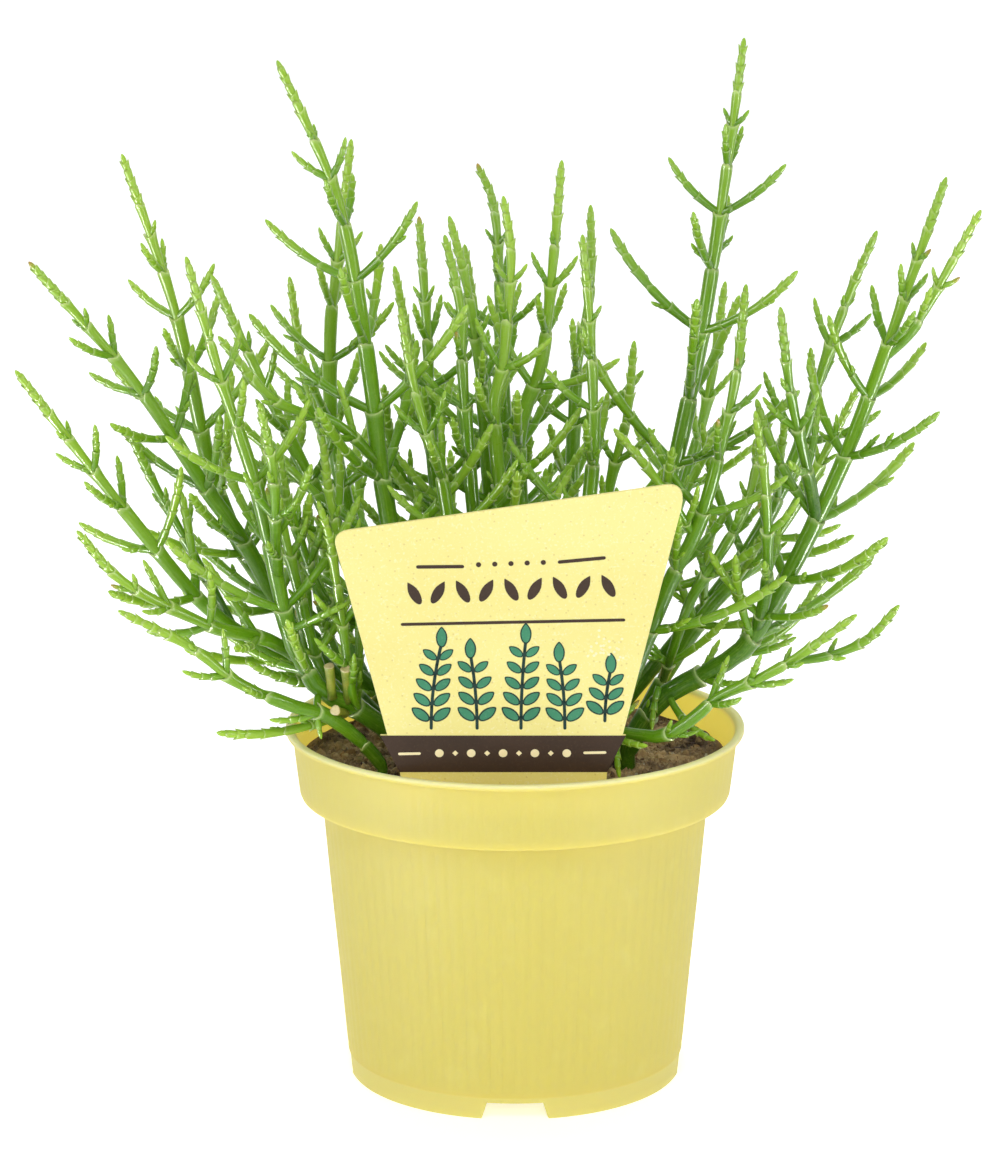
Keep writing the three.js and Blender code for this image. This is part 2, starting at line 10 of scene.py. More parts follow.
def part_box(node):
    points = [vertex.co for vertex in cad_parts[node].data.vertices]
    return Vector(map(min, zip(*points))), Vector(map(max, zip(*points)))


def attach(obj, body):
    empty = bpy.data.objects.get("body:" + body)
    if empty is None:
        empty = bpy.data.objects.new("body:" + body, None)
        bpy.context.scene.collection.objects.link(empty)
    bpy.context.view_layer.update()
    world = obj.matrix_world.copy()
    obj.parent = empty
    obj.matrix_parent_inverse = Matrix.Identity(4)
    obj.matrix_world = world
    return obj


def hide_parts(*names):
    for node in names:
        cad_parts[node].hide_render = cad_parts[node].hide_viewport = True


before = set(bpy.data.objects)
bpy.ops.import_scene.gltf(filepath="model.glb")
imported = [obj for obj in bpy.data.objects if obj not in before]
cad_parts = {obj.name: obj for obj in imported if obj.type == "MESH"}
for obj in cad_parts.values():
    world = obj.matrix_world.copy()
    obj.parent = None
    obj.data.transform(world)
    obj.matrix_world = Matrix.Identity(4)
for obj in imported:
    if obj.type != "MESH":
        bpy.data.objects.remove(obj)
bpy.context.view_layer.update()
pot_low, pot_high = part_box("pot")
POT_AXIS = np.array([(pot_low[0] + pot_high[0]) * 500, (pot_low[1] + pot_high[1]) * 500, 0.0])


def to_frame(points):
    """Millimetres from the pot's axis to metres in the frame."""
    return (np.asarray(points, float).reshape(-1, 3) + POT_AXIS) * 0.001


# Camera, as the photograph was taken: 1000 x 1155, long side up.
IMAGE_HEIGHT = 1155
FOCAL_PX = 4488
SIDE_SHIFT_PX = -15
CAMERA_PLACE = [0, -1134, 404]
CAMERA_AIM = [0, 0, 133]
camera_data = bpy.data.cameras.new("camera")
camera_data.sensor_width = 36
camera_data.lens = FOCAL_PX / IMAGE_HEIGHT * 36
camera_data.shift_x = SIDE_SHIFT_PX / IMAGE_HEIGHT
camera_data.clip_start = 0.05
camera_data.clip_end = 20
camera = bpy.data.objects.new("camera", camera_data)
camera.location = to_frame(CAMERA_PLACE)[0]
aim = Vector(to_frame(CAMERA_AIM)[0]) - camera.location
camera.rotation_euler = aim.to_track_quat("-Z", "Y").to_euler()
bpy.context.collection.objects.link(camera)
bpy.context.scene.camera = camera

# Node helpers


def add(tree, kind, **values):
    """A new node with its settings."""
    node = tree.nodes.new(kind)
    for key, value in values.items():
        setattr(node, key, value)
    return node


def feed(tree, node, **inputs):
    """Sets or links a node's inputs by name, with _ for a space."""
    for key, value in inputs.items():
        number = key[2:] if key.startswith("at") else ""
        target = node.inputs[int(number) if number.isdigit() else key.replace("_", " ")]
        if isinstance(value, bpy.types.NodeSocket):
            tree.links.new(value, target)
        else:
            target.default_value = value
    return node


def sheet_of_sockets(tree, inputs, outputs):
    """Gives a group its named inputs and outputs, and returns the two nodes for them."""
    for name, kind, value in inputs:
        made = tree.interface.new_socket(name=name, in_out="INPUT", socket_type=kind)
        if value is not None:
            made.default_value = value
    for name, kind in outputs:
        tree.interface.new_socket(name=name, in_out="OUTPUT", socket_type=kind)
    return add(tree, "NodeGroupInput"), add(tree, "NodeGroupOutput")


def noise(tree, place, scale, detail):
    """The value of a noise pattern."""
    node = add(tree, "ShaderNodeTexNoise")
    return feed(tree, node, Vector=place, Scale=scale, Detail=detail).outputs["Fac"]


def ranged(tree, value, low, high, first=0.0, last=1.0):
    """A value from low to high, brought to first to last."""
    node = feed(tree, add(tree, "ShaderNodeMapRange"), Value=value, From_Min=low, From_Max=high)
    return feed(tree, node, To_Min=first, To_Max=last).outputs["Result"]


def reckon(tree, operation, *values):
    """One sum of values or sockets."""
    node = add(tree, "ShaderNodeMath", operation=operation)
    return feed(tree, node, **{"at%d" % i: value for i, value in enumerate(values)}).outputs[0]


def blend(tree, part, first, second):
    """A mix of two colours."""
    node = add(tree, "ShaderNodeMix", data_type="RGBA")
    return feed(tree, node, at0=part, at6=first, at7=second).outputs[2]


def on_points(tree, name, output="Fac"):
    """A value that the piece keeps on its points."""
    return add(tree, "ShaderNodeAttribute", attribute_name=name).outputs[output]


def linear(r, g, b):
    """An sRGB colour of 0-255 as the renderer's linear colour."""
    return tuple(((c / 255 + 0.055) / 1.055) ** 2.4 if c > 10 else c / 3294 for c in (r, g, b)) + (1.0,)


# Shared shader groups

GRAIN_HEIGHT = 0.0006


def mottle_group():
    """Soft patches of a second colour and flecks of a third over a base colour."""
    tree = bpy.data.node_groups.new("mottle", "ShaderNodeTree")
    source, result = sheet_of_sockets(tree, [
        ("Place", "NodeSocketVector", None),
        ("Base", "NodeSocketColor", (0.5, 0.5, 0.5, 1)),
        ("Patch", "NodeSocketColor", (0.4, 0.4, 0.4, 1)),
        ("Fleck", "NodeSocketColor", (0.7, 0.7, 0.7, 1)),
        ("Patch size", "NodeSocketFloat", 20.0),
        ("Fleck size", "NodeSocketFloat", 90.0),
        ("Fleck amount", "NodeSocketFloat", 0.3),
    ], [("Color", "NodeSocketColor"), ("Mask", "NodeSocketFloat")])
    given = source.outputs
    patches = ranged(tree, noise(tree, given["Place"], given["Patch size"], 4.0), 0.38, 0.66)
    flecks = ranged(tree, noise(tree, given["Place"], given["Fleck size"], 2.0), 0.56, 0.74)
    flecks = reckon(tree, "MULTIPLY", flecks, given["Fleck amount"])
    patched = blend(tree, patches, given["Base"], given["Patch"])
    feed(tree, result, Color=blend(tree, flecks, patched, given["Fleck"]), Mask=patches)
    return tree


def grain_group():
    """A fine bump normal and a roughness value from one grain."""
    tree = bpy.data.node_groups.new("grain", "ShaderNodeTree")
    source, result = sheet_of_sockets(tree, [
        ("Place", "NodeSocketVector", None),
        ("Grain size", "NodeSocketFloat", 800.0),
        ("Depth", "NodeSocketFloat", 0.1),
        ("Roughness", "NodeSocketFloat", 0.4),
        ("Spread", "NodeSocketFloat", 0.1),
    ], [("Normal", "NodeSocketVector"), ("Roughness", "NodeSocketFloat")])
    given = source.outputs
    grain = noise(tree, given["Place"], given["Grain size"], 3.0)
    bump = add(tree, "ShaderNodeBump")
    feed(tree, bump, Height=grain, Strength=given["Depth"], Distance=GRAIN_HEIGHT)
    off_middle = reckon(tree, "SUBTRACT", grain, 0.5)
    rough = reckon(tree, "MULTIPLY_ADD", off_middle, given["Spread"], given["Roughness"])
    feed(tree, result, Normal=bump.outputs["Normal"], Roughness=rough)
    return tree


MOTTLE = mottle_group()
GRAIN = grain_group()


def new_material(name):
    """A material, its nodes, its shader and the place on the piece."""
    material = bpy.data.materials.new(name)
    material.use_nodes = True
    tree = material.node_tree
    shader = tree.nodes["Principled BSDF"]
    place = add(tree, "ShaderNodeTexCoord").outputs["Object"]
    return material, tree, shader, place


def mottled(tree, place, base, patch, fleck, patch_size, fleck_size, amount):
    """The colour of a surface with patches and flecks."""
    node = add(tree, "ShaderNodeGroup", node_tree=MOTTLE)
    feed(tree, node, Place=place, Base=base, Patch=patch, Fleck=fleck)
    feed(tree, node, Patch_size=patch_size, Fleck_size=fleck_size, Fleck_amount=amount)
    return node.outputs["Color"]


def grained(tree, shader, place, size, depth, roughness, spread):
    """Gives the shader a grain in its surface and its gloss."""
    node = add(tree, "ShaderNodeGroup", node_tree=GRAIN)
    feed(tree, node, Place=place, Grain_size=size, Depth=depth, Roughness=roughness, Spread=spread)
    feed(tree, shader, Normal=node.outputs["Normal"], Roughness=node.outputs["Roughness"])


def plain_finish(name, base, patch, fleck, patch_size, fleck_size, amount, grain, depth, roughness):
    """A material with patches, flecks and grain."""
    material, tree, shader, place = new_material(name)
    feed(tree, shader, Base_Color=mottled(tree, place, base, patch, fleck, patch_size, fleck_size, amount))
    grained(tree, shader, place, grain, depth, roughness, 0.2)
    return material, tree, shader


# Finishes


def stem_finish():
    """Waxy green skin: darker with age, yellow towards the tips, pale at the collars (partly its own pale
    rims, partly a painted highlight), finely streaked.
    """
    material, tree, shader, place = new_material("saltwort_skin")
    age = add(tree, "ShaderNodeValToRGB")
    ramp = age.color_ramp
    ramp.elements[0].color = linear(63, 111, 10)
    ramp.elements[1].position = 1.0
    ramp.elements[1].color = linear(164, 203, 60)
    ramp.elements.new(0.5).color = linear(106, 157, 18)
    shifted = add(tree, "ShaderNodeMath", operation="ADD", use_clamp=True)
    feed(tree, shifted, at0=on_points(tree, "young"), at1=on_points(tree, "tone"))
    feed(tree, age, Fac=shifted.outputs[0])
    stretch = add(tree, "ShaderNodeVectorMath", operation="MULTIPLY")
    feed(tree, stretch, at0=on_points(tree, "strand", "Vector"), at1=(3.2, 3.2, 0.16))
    streaks = ranged(tree, noise(tree, stretch.outputs[0], 1.0, 3.0), 0.5, 0.75, 0.0, 0.22)
    streaked = blend(tree, streaks, age.outputs["Color"], linear(180, 208, 96))
    skin = mottled(tree, place, streaked, streaked, linear(152, 194, 70), 60.0, 900.0, 0.15)
    # Pale collar rims: partly the skin's own pale edge, partly a painted highlight.
    collar_pale_glint = blend(tree, on_points(tree, "pale"), skin, linear(226, 240, 172))
    tipped = blend(tree, on_points(tree, "brown"), collar_pale_glint, linear(176, 122, 58))
    grained(tree, shader, place, 1400.0, 0.07, 0.3, 0.2)
    feed(tree, shader, Base_Color=tipped, Specular_IOR_Level=0.2, Coat_Weight=0.28, Coat_Roughness=0.12)
    feed(tree, shader, Subsurface_Weight=0.25, Subsurface_Radius=(0.6, 1.0, 0.15), Subsurface_Scale=0.0016)
    return material


def pot_finish():
    """Pale lemon moulded plastic: a paler lip that is a painted highlight, a cooler foot, and a painted
    glow on its inner side for the light that comes through the wall.
    """
    material, tree, shader = plain_finish(
        "lemon_plastic", linear(231, 212, 114), linear(228, 208, 108), linear(236, 219, 126),
        9.0, 130.0, 0.25, 2600.0, 0.12, 0.6)
    lemon = shader.inputs["Base Color"].links[0].from_socket
    # Painted highlight: the lip's top is made paler, as if lit.
    paler = blend(tree, on_points(tree, "lip_highlight"), lemon, linear(250, 241, 176))
    cooler = blend(tree, on_points(tree, "foot"), paler, linear(220, 210, 125))
    # Painted glow: the inner wall gives off light of its own, for the light that comes through the thin
    # wall.
    inner_glow = reckon(tree, "MULTIPLY", on_points(tree, "inner_glow_mask"), 0.36)
    feed(tree, shader, Base_Color=cooler, Specular_IOR_Level=0.2)
    feed(tree, shader, Subsurface_Weight=0.5, Subsurface_Radius=(1.0, 0.8, 0.25), Subsurface_Scale=0.006)
    feed(tree, shader, Emission_Strength=inner_glow, Emission_Color=linear(255, 230, 104))
    return material


def card_finish():
    """Uncoated yellow card: fibres and tiny brown specks."""
    material, tree, shader, place = new_material("yellow_card")
    yellow = mottled(tree, place, linear(238, 228, 141), linear(234, 222, 131), linear(247, 240, 190),
                     30.0, 1500.0, 0.5)
    cells = feed(tree, add(tree, "ShaderNodeTexVoronoi"), Vector=place, Scale=520.0)
    specks = ranged(tree, cells.outputs["Distance"], 0.1, 0.16, 0.32, 0.0)
    feed(tree, shader, Base_Color=blend(tree, specks, yellow, linear(190, 158, 84)))
    grained(tree, shader, place, 1900.0, 0.2, 0.58, 0.25)
    return material


def soil_finish():
    """Brown compost with lighter dry patches, and painted shade that darkens it by the pot's wall."""
    material, tree, shader, place = new_material("moist_compost")
    brown = mottled(tree, place, linear(206, 174, 128), linear(64, 44, 34), linear(228, 204, 160),
                    105.0, 520.0, 0.5)
    flat = add(tree, "ShaderNodeVectorMath", operation="MULTIPLY")
    feed(tree, flat, at0=place, at1=(1, 1, 0))
    out = add(tree, "ShaderNodeVectorMath", operation="DISTANCE")
    feed(tree, out, at0=flat.outputs[0], at1=tuple(to_frame([0, 0, 0])[0]))
    # Painted shade: a darker ring of soil next to the pot's wall, under the rim.
    wall_shade = ranged(tree, out.outputs["Value"], 0.042, 0.054, 0.0, 0.7)
    feed(tree, shader, Base_Color=blend(tree, wall_shade, brown, linear(62, 42, 32)))
    grained(tree, shader, place, 1500.0, 0.9, 0.9, 0.2)
    return material


SKIN = stem_finish()
PLASTIC = pot_finish()
CARD = card_finish()
COMPOST = soil_finish()
# Plain finishes: three colours, size of patches and flecks, amount of flecks, grain, depth, roughness.
PLAIN = {
    "straw_fibre": ((168, 132, 84), (120, 88, 54), (200, 172, 122), 300, 1200, 0.4, 2000, 0.4, 0.8),
    "tan_peat": ((150, 122, 88), (112, 86, 60), (178, 152, 112), 160, 700, 0.5, 1500, 0.8, 0.88),
    "pale_grain": ((196, 184, 160), (164, 150, 124), (226, 218, 200), 400, 1500, 0.4, 2200, 0.5, 0.75),
    "brown_ink": ((64, 46, 33), (57, 41, 29), (82, 62, 46), 60, 1400, 0.3, 1800, 0.12, 0.7),
    "green_ink": ((66, 142, 106), (56, 130, 96), (92, 162, 124), 120, 1500, 0.4, 1800, 0.12, 0.5),
    "dark_ink": ((30, 62, 54), (26, 54, 48), (44, 80, 68), 120, 1500, 0.3, 1800, 0.12, 0.5),
    "cream_ink": ((252, 240, 196), (248, 234, 184), (255, 248, 220), 120, 1500, 0.3, 1800, 0.12, 0.5),
    "stub_skin": ((168, 170, 54), (118, 146, 36), (206, 194, 90), 200, 1400, 0.4, 2000, 0.3, 0.5),
    "cut_pith": ((222, 206, 148), (198, 178, 112), (236, 226, 182), 300, 1400, 0.5, 2000, 0.4, 0.6),
}
FINISHES = {name: plain_finish(name, *(linear(*colour) for colour in values[:3]), *values[3:])[0]
            for name, values in PLAIN.items()}
INKS = ("brown_ink", "dark_ink", "green_ink", "cream_ink")
for name in INKS:
    ink_nodes = FINISHES[name].node_tree
    feed(ink_nodes, ink_nodes.nodes["Principled BSDF"], Specular_IOR_Level=0.2)

# Mesh helpers


def make_piece(name, verts_mm, faces, material, smooth=True, attributes=None):
    """A finished piece from millimetre points; attributes are one number or vector for each point."""
    mesh = bpy.data.meshes.new(name)
    mesh.from_pydata(to_frame(verts_mm).tolist(), [], faces)
    if smooth:
        mesh.shade_smooth()
    for key, values in (attributes or {}).items():
        values = np.asarray(values, np.float32)
        if values.ndim == 2:
            mesh.attributes.new(key, "FLOAT_VECTOR", "POINT").data.foreach_set("vector", values.ravel())
        else:
            mesh.attributes.new(key, "FLOAT", "POINT").data.foreach_set("value", values)
    for one in material if isinstance(material, (list, tuple)) else [material]:
        mesh.materials.append(one)
    mesh.validate()
    obj = bpy.data.objects.new(name, mesh)
    bpy.context.collection.objects.link(obj)
    return obj


def object_of(bm, name):
    """A helper object from a bmesh, which is freed."""
    mesh = bpy.data.meshes.new(name)
    bm.to_mesh(mesh)
    bm.free()
    obj = bpy.data.objects.new(name, mesh)
    bpy.context.collection.objects.link(obj)
    return obj


def finish_piece(obj, slot, *nodes):
    """Rides a piece on the one body and hides the solids that it stands for; its slot is not used."""
    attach(obj, "root")
    if nodes:
        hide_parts(*nodes)


def tube_faces(start, rows, sides):
    """Faces between closed rings of points, row by row."""
    faces = []
    for row in range(rows):
        low = start + row * sides
        for i in range(sides):
            k = (i + 1) % sides
            faces.append((low + i, low + k, low + sides + k, low + sides + i))
    return faces


def turned(profile, columns):
    """Points and faces of a turned shell. The profile runs from the axis to the axis."""
    angles = np.linspace(0, 2 * math.pi, columns, endpoint=False)
    points = []
    for r, z in profile[1:-1]:
        points += [(r * math.cos(a), r * math.sin(a), z) for a in angles]
    rows = len(profile) - 2
    faces = tube_faces(0, rows - 1, columns)
    points.append((0, 0, profile[0][1]))
    points.append((0, 0, profile[-1][1]))
    first, last = len(points) - 2, len(points) - 1
    for j in range(columns):
        k = (j + 1) % columns
        faces.append((first, k, j))
        faces.append((last, (rows - 1) * columns + j, (rows - 1) * columns + k))
    return np.array(points), faces


def as_plain_mesh(obj, name):
    """The object with its modifiers applied, as a new object without any."""
    depsgraph = bpy.context.evaluated_depsgraph_get()
    mesh = bpy.data.meshes.new_from_object(obj.evaluated_get(depsgraph))
    bpy.data.objects.remove(obj)
    mesh.name = name
    made = bpy.data.objects.new(name, mesh)
    bpy.context.collection.objects.link(made)
    return made


def run_tree(obj, tree, name, **inputs):
    """Runs a geometry tree on an object and keeps the result as a plain mesh."""
    modifier = obj.modifiers.new("tree", "NODES")
    modifier.node_group = tree
    sockets = [item for item in tree.interface.items_tree if item.item_type == "SOCKET"]
    ids = {socket.name: socket.identifier for socket in sockets if socket.in_out == "INPUT"}
    for key, value in inputs.items():
        modifier[ids[key.replace("_", " ")]] = value
    return as_plain_mesh(obj, name)


# Growth

RIM_Z = 94
SOIL_Z = 86
COLLAR_Z = 89.5
CARD_Y = -46.8
CARD_LEAN = 0.136
STEP = 1.5
BRANCH_MIN = 16
SPIKE_JOINTS = 6
SPIKE_STEP = 2.35
# Turns in degrees and shares of its length that a long branch tries in turn.
TRIES = [(0, 1), (22, 1), (-22, 1), (0, 0.75), (40, 0.8), (-40, 0.8), (0, 0.55)]
UP = np.array([0.0, 0.0, 1.0])
FIRST_SIDE = np.array([1.0, 0.0, 0.0])
# The card, the rim and the soil as the growth rule sees them.
CARD_MIDDLE, CARD_HALF, CARD_SPREAD, CARD_TOP, CARD_GAP = -1.5, 30, 0.23, 172, 1.2
RIM_INSIDE, RIM_OUTSIDE, SOIL_EDGE, FIXED_GAP = 55.5, 61, 58, 0.8
# Degrees between a shoot and its stem, degrees of turn left to chance, and share of joints with a shoot.
LONG_TILT, LONG_TILT_SPREAD = 56, 12
SHORT_TILT, SHORT_TILT_SPREAD = 44, 14
TURN_SPREAD, TWIG_TURN_SPREAD = 24, 30
SHARE_YOUNG, SHARE_OLD, SHARE_TWIGS = 0.9, 0.8, 0.34
LONGEST_BRANCH = 41
# How far around a shoot its neighbours are looked for, and the stretch that may touch its own stem.
NEIGHBOUR_REACH, OWN_ROOT = 8, 6
FIRST_TWIG_JOINT = 4
# Free space around a shoot: to other stems, and to its own stem.
LONG_GAPS = (0.9, 0.6)
SHORT_GAPS = (0.3, 0.3)
TWIG_GAPS = (0.25, 0.2)
BRANCH_SEED, BRANCH_SEED_STEP = 1043, 733
BOUGHS_BARE_BELOW = 100

# Stem: name, foot, girth, reach, turn of the first pair, bare below, points up to the tip, boughs.
STEMS = [
    ("far_left", (-31, -2), 1.9, 0.9, -17, 122,
     [(-65, -8, 116), (-80, -13, 129), (-98, -18, 153), (-126, -22, 192)], []),
    ("low_left", (-29, -13), 1.9, 0.9, 73, 120,
     [(-58, -22, 119), (-77, -32, 128), (-98, -42, 142), (-109, -46, 156)], []),
    ("rim_left", (-34, -27), 1.9, 0.7, 28, 108,
     [(-46, -34, 104), (-57, -38, 109), (-70, -42, 116), (-81, -46, 126), (-99, -48, 136)], []),
    ("long_left", (-33, 8), 2.2, 0.9, 60, 104,
     [(-56, 2, 116), (-70, 0, 142), (-79, -2, 156), (-97, -8, 186), (-123, -12, 218)], []),
    ("tall_left", (-30, 20), 2.3, 0.9, 73, 110,
     [(-62, 16, 122), (-78, 14, 153), (-88, 14, 200), (-101, 12, 242)], []),
    ("thick_left", (-24, -20), 2.9, 0.9, 35, 104,
     [(-42, -26.5, 106), (-48.5, -30, 109.5), (-52.8, -30.5, 116), (-57.5, -31, 127), (-65, -30, 163),
      (-74, -29, 192), (-82, -28, 222)],
     [(1.7, 0.7, -17, [(-60, -31, 141), (-60, -38, 154), (-60, -44, 170), (-63, -49, 189)]),
      (1.8, 0.7, 28, [(-45, -28, 108), (-50.5, -24, 116), (-54.3, -23, 131), (-58, -22, 147),
                      (-61.6, -21, 163), (-64, -20.5, 176)])]),
    ("mid_left", (-23, 0), 2, 0.85, -17, 112,
     [(-40, 0, 128), (-48, 0, 148), (-58, 2, 169), (-69, 4, 192), (-78, 4, 212)], []),
    ("tall_mid", (-16, -10), 2.5, 1, -17, 112,
     [(-29, -12, 135), (-34, -12, 162), (-37, -11, 189), (-42, -8, 221), (-47, -6, 239), (-60, -4, 268)],
     [(1.6, 0.6, -17, [(-34, -12, 165), (-45, -17, 177), (-61, -20, 184), (-75, -18, 200)])]),
    ("back_left", (-22, 30), 2.1, 0.9, -17, 112,
     [(-40, 32, 130), (-48, 34, 161), (-49, 38, 189), (-47, 40, 209), (-43, 40, 242)], []),
    ("centre_left", (-14, 15), 2, 0.9, 73, 126, [(-21, 20, 155), (-23, 22, 194), (-25, 24, 224)], []),
    ("front_mid", (-9, -22), 2.1, 1, -17, 124,
     [(-18, -20, 160), (-22, -20, 174), (-26, -18, 189), (-29, -16, 207)], []),
    ("back_mid", (-8, 32), 2, 0.9, -17, 126, [(-24, 38, 167), (-29, 42, 191), (-32, 42, 208)], []),
    ("centre_a", (-3, 10), 2, 0.9, -17, 128, [(-8, 10, 173), (-12, 12, 205), (-17, 12, 226)], []),
    ("centre_b", (-6, -3), 1.9, 0.85, 73, 130, [(-13, -4, 181), (-14, -2, 204), (-18, 0, 223)], []),
    ("back_a", (3, 38), 2.1, 0.9, 73, 126, [(-3, 44, 171), (-5, 44, 219), (-10, 44, 235)], []),
    ("centre_c", (4, -6), 2.2, 0.9, 73, 130,
     [(-5, -4, 170), (-3, -2, 190), (-1, 0, 216), (-3, 0, 233)], []),
    ("centre_d", (7, 6), 2.2, 0.9, -17, 130, [(1, 4, 164), (7, 6, 189), (10, 7, 217), (12, 8, 241)], []),
    ("back_b", (14, 34), 2, 0.9, -17, 126, [(16, 42, 172), (20, 44, 201), (20, 44, 224)], []),
    ("front_right", (12, -20), 2.1, 0.9, 73, 130,
     [(19, -14, 157), (20, -14, 175), (19, -12, 202), (17, -12, 225)], []),
    ("tallest", (17, -7), 2.5, 1, 73, 130,
     [(36, -4, 144), (42, -4, 168), (48, -2, 199), (54, 0, 241), (58, 2, 273)], []),
    ("right_front", (22, -25), 2.1, 0.9, -17, 112,
     [(38, -24, 134), (47, -25, 154), (55, -24, 187), (58, -22, 214)], []),
    ("big_right", (29, -13), 3, 1, 40, 112,
     [(38, -13, 104), (51, -14, 112), (61, -16, 121), (77, -16, 152), (90, -12, 183), (109, -8, 239)],
     [(1.9, 0.8, 73, [(94, -11, 193), (101, -13, 201), (109, -15, 216), (117, -17, 232)]),
      (1.8, 0.8, -17, [(77, -16, 152), (74, -24, 166), (69, -30, 188), (66, -32, 210)]),
      (1.8, 0.8, -17, [(62, -16, 123), (64, -26, 138), (63, -32, 163), (60, -34, 184)]),
      (1.6, 0.7, -17, [(51, -14, 112), (60, -2, 113), (72, 6, 119), (82, 10, 132)])]),
    ("back_right", (26, 20), 2.1, 0.9, -17, 110,
     [(60, 24, 132), (75, 28, 161), (81, 30, 182), (88, 32, 202), (95, 32, 219)], []),
    ("mid_right", (31, 3), 2.2, 0.9, 73, 110,
     [(49, 2, 122), (65, 4, 139), (77, 6, 158), (89, 8, 182)], []),
    ("low_right", (12, -30), 1.7, 0.6, -17, 112,
     [(18, -32, 98.5), (27.4, -34, 100.8), (33.7, -37, 100.2), (39.7, -40, 102.4), (45.6, -42, 107.1),
      (51, -44, 112.6), (62, -48, 119), (71, -50, 125), (85, -52, 136)],
     [(1.3, 0.6, 73, [(68, -49, 123), (78, -47, 124), (88, -46, 128), (96, -46, 137)])]),
    ("inner_left", (-22, -11), 1.8, 0.8, 28, 112,
     [(-34, -12, 118), (-42, -13, 136), (-47, -15, 156), (-49, -17, 174)], []),
    ("inner_right", (14, 12), 1.8, 0.8, -17, 124, [(24, 14, 150), (29, 14, 172), (31, 14, 193)], []),
    ("rear_left", (-20, 42), 2.2, 0.9, -17, 115, [(-40, 62, 128), (-56, 76, 164), (-62, 84, 198)], []),
    ("rear_mid", (3, 47), 2.2, 0.9, 73, 115, [(2, 70, 130), (-8, 88, 168), (-14, 96, 205)], []),
    ("rear_right", (26, 38), 2.2, 0.9, -17, 115, [(40, 60, 126), (52, 78, 160), (58, 88, 196)], []),
]

# Boughs that fill the gaps: stem, girth, reach, turn of the first pair, points up to the tip.
MORE_BOUGHS = [
    ("thick_left", 1.4, 0.55, 20,
     [(-40, -27.5, 105.5), (-41.4, -32, 111), (-43, -34, 124.6), (-44.6, -35, 137.9), (-46.5, -35, 150.8),
      (-49.5, -34, 161)]),
    ("right_front", 1.3, 0.4, 0,
     [(45.3, -24.8, 150), (39.8, -28.7, 159.4), (32.8, -26.2, 168.4), (25, -18.4, 176.3)]),
    ("mid_right", 1.6, 0.7, 60,
     [(38.5, 2.5, 104), (40.8, -9.4, 115.8), (44.9, -15.4, 130.5), (52.3, -15.4, 142.6),
      (58.7, -12.5, 153.5), (62.3, -8.2, 165.8), (65.5, -4.3, 176.9)]),
    ("far_left", 1.4, 0.6, 40,
     [(-72, -10.5, 121.5), (-77.5, -3.4, 129.1), (-87.9, 1.2, 147.2), (-94.3, 3.5, 158.6),
      (-100.4, 4.8, 172)]),
    ("mid_left", 1.5, 0.6, 10,
     [(-36, -1, 119), (-42.9, -9.8, 124.5), (-49.9, -16, 132.7), (-54.8, -17.2, 146.7),
      (-58.4, -17.5, 159.5), (-60.4, -16.1, 172.2)]),
    ("centre_left", 1.4, 0.6, 0,
     [(-19, 18.5, 146), (-25.2, 24.7, 148.1), (-30.3, 26.2, 155.2), (-33.3, 23.8, 167.6),
      (-34.2, 17.2, 180.8)]),
    ("long_left", 1.8, 0.6, 10,
     [(-43.2, 5.2, 101.4), (-46.3, 8.8, 108.1), (-49.5, 12.4, 115.3), (-51.7, 15.7, 123.2),
      (-53, 17.6, 132.2), (-53.8, 19.3, 141.3), (-54.5, 20.8, 149)]),
    ("tall_left", 1.8, 0.6, 50,
     [(-38.2, 19, 98.2), (-43.1, 30.1, 104.5), (-47.1, 38.5, 112), (-49.7, 38.5, 121.7),
      (-51, 32.3, 132.8), (-52, 22.2, 144.7)]),
    ("far_left", 1.6, 0.5, 30,
     [(-49.5, -5.1, 104.4), (-52.3, -8.5, 112), (-54, -10.3, 119.4), (-55.3, -12.6, 127.4),
      (-55.9, -14.6, 135.3), (-56.7, -16.9, 143.7)]),
    ("low_left", 1.7, 0.5, 70,
     [(-47.6, -18.5, 109.6), (-53.3, -21, 110.2), (-58.4, -22, 111.5), (-63.4, -23, 113.6),
      (-68.5, -24, 116.5)]),
]


def unit(v):
    """The same direction, one long."""
    return v / math.sqrt(v @ v)


def squared(side, along):
    """A side direction turned square to the path."""
    return unit(side - along * (side @ along))


def internode(k):
    """Distance from joint k to the next, counted from the tip: a spike of short ones, then longer."""
    return SPIKE_STEP if k < SPIKE_JOINTS else min(17.5, 8.3 + 2 * (k - SPIKE_JOINTS))


def stem_radius(girth, k):
    """Radius of the internode below joint k: slim in the spike, then up to the girth."""
    return min(girth, 1 + 0.06 * k if k < 7 else 0.28 + 0.17 * k)


class Path:
    """A smooth line through points, with the distance run at each place on it."""

    def __init__(self, points):
        points = [np.array(p, float) for p in points]
        points.append(points[-1] * 2 - points[-2])
        self.places = [points[1]]
        for a, b, c, d in zip(points, points[1:], points[2:], points[3:]):
            count = max(1, math.floor(math.dist(b, c) / STEP + 0.5))
            for j in range(1, count + 1):
                t = j / count
                self.places.append(0.5 * (a * (-t + 2 * t**2 - t**3) + b * (2 - 5 * t**2 + 3 * t**3)
                                          + c * (t + 4 * t**2 - 3 * t**3) + d * (-t**2 + t**3)))
        self.places = np.array(self.places)
        steps = np.sqrt(((self.places[1:] - self.places[:-1]) ** 2).sum(1))
        self.run = np.concatenate([[0.0], np.cumsum(steps)])
        self.length = self.run[-1]

    def at(self, distance):
        s = min(max(distance, 0.0), self.length)
        i = min(max(int(np.searchsorted(self.run, s, "left")), 1), len(self.run) - 1)
        along = self.places[i] - self.places[i - 1]
        part = (s - self.run[i - 1]) / (self.run[i] - self.run[i - 1])
        return self.places[i - 1] + along * part, unit(along)


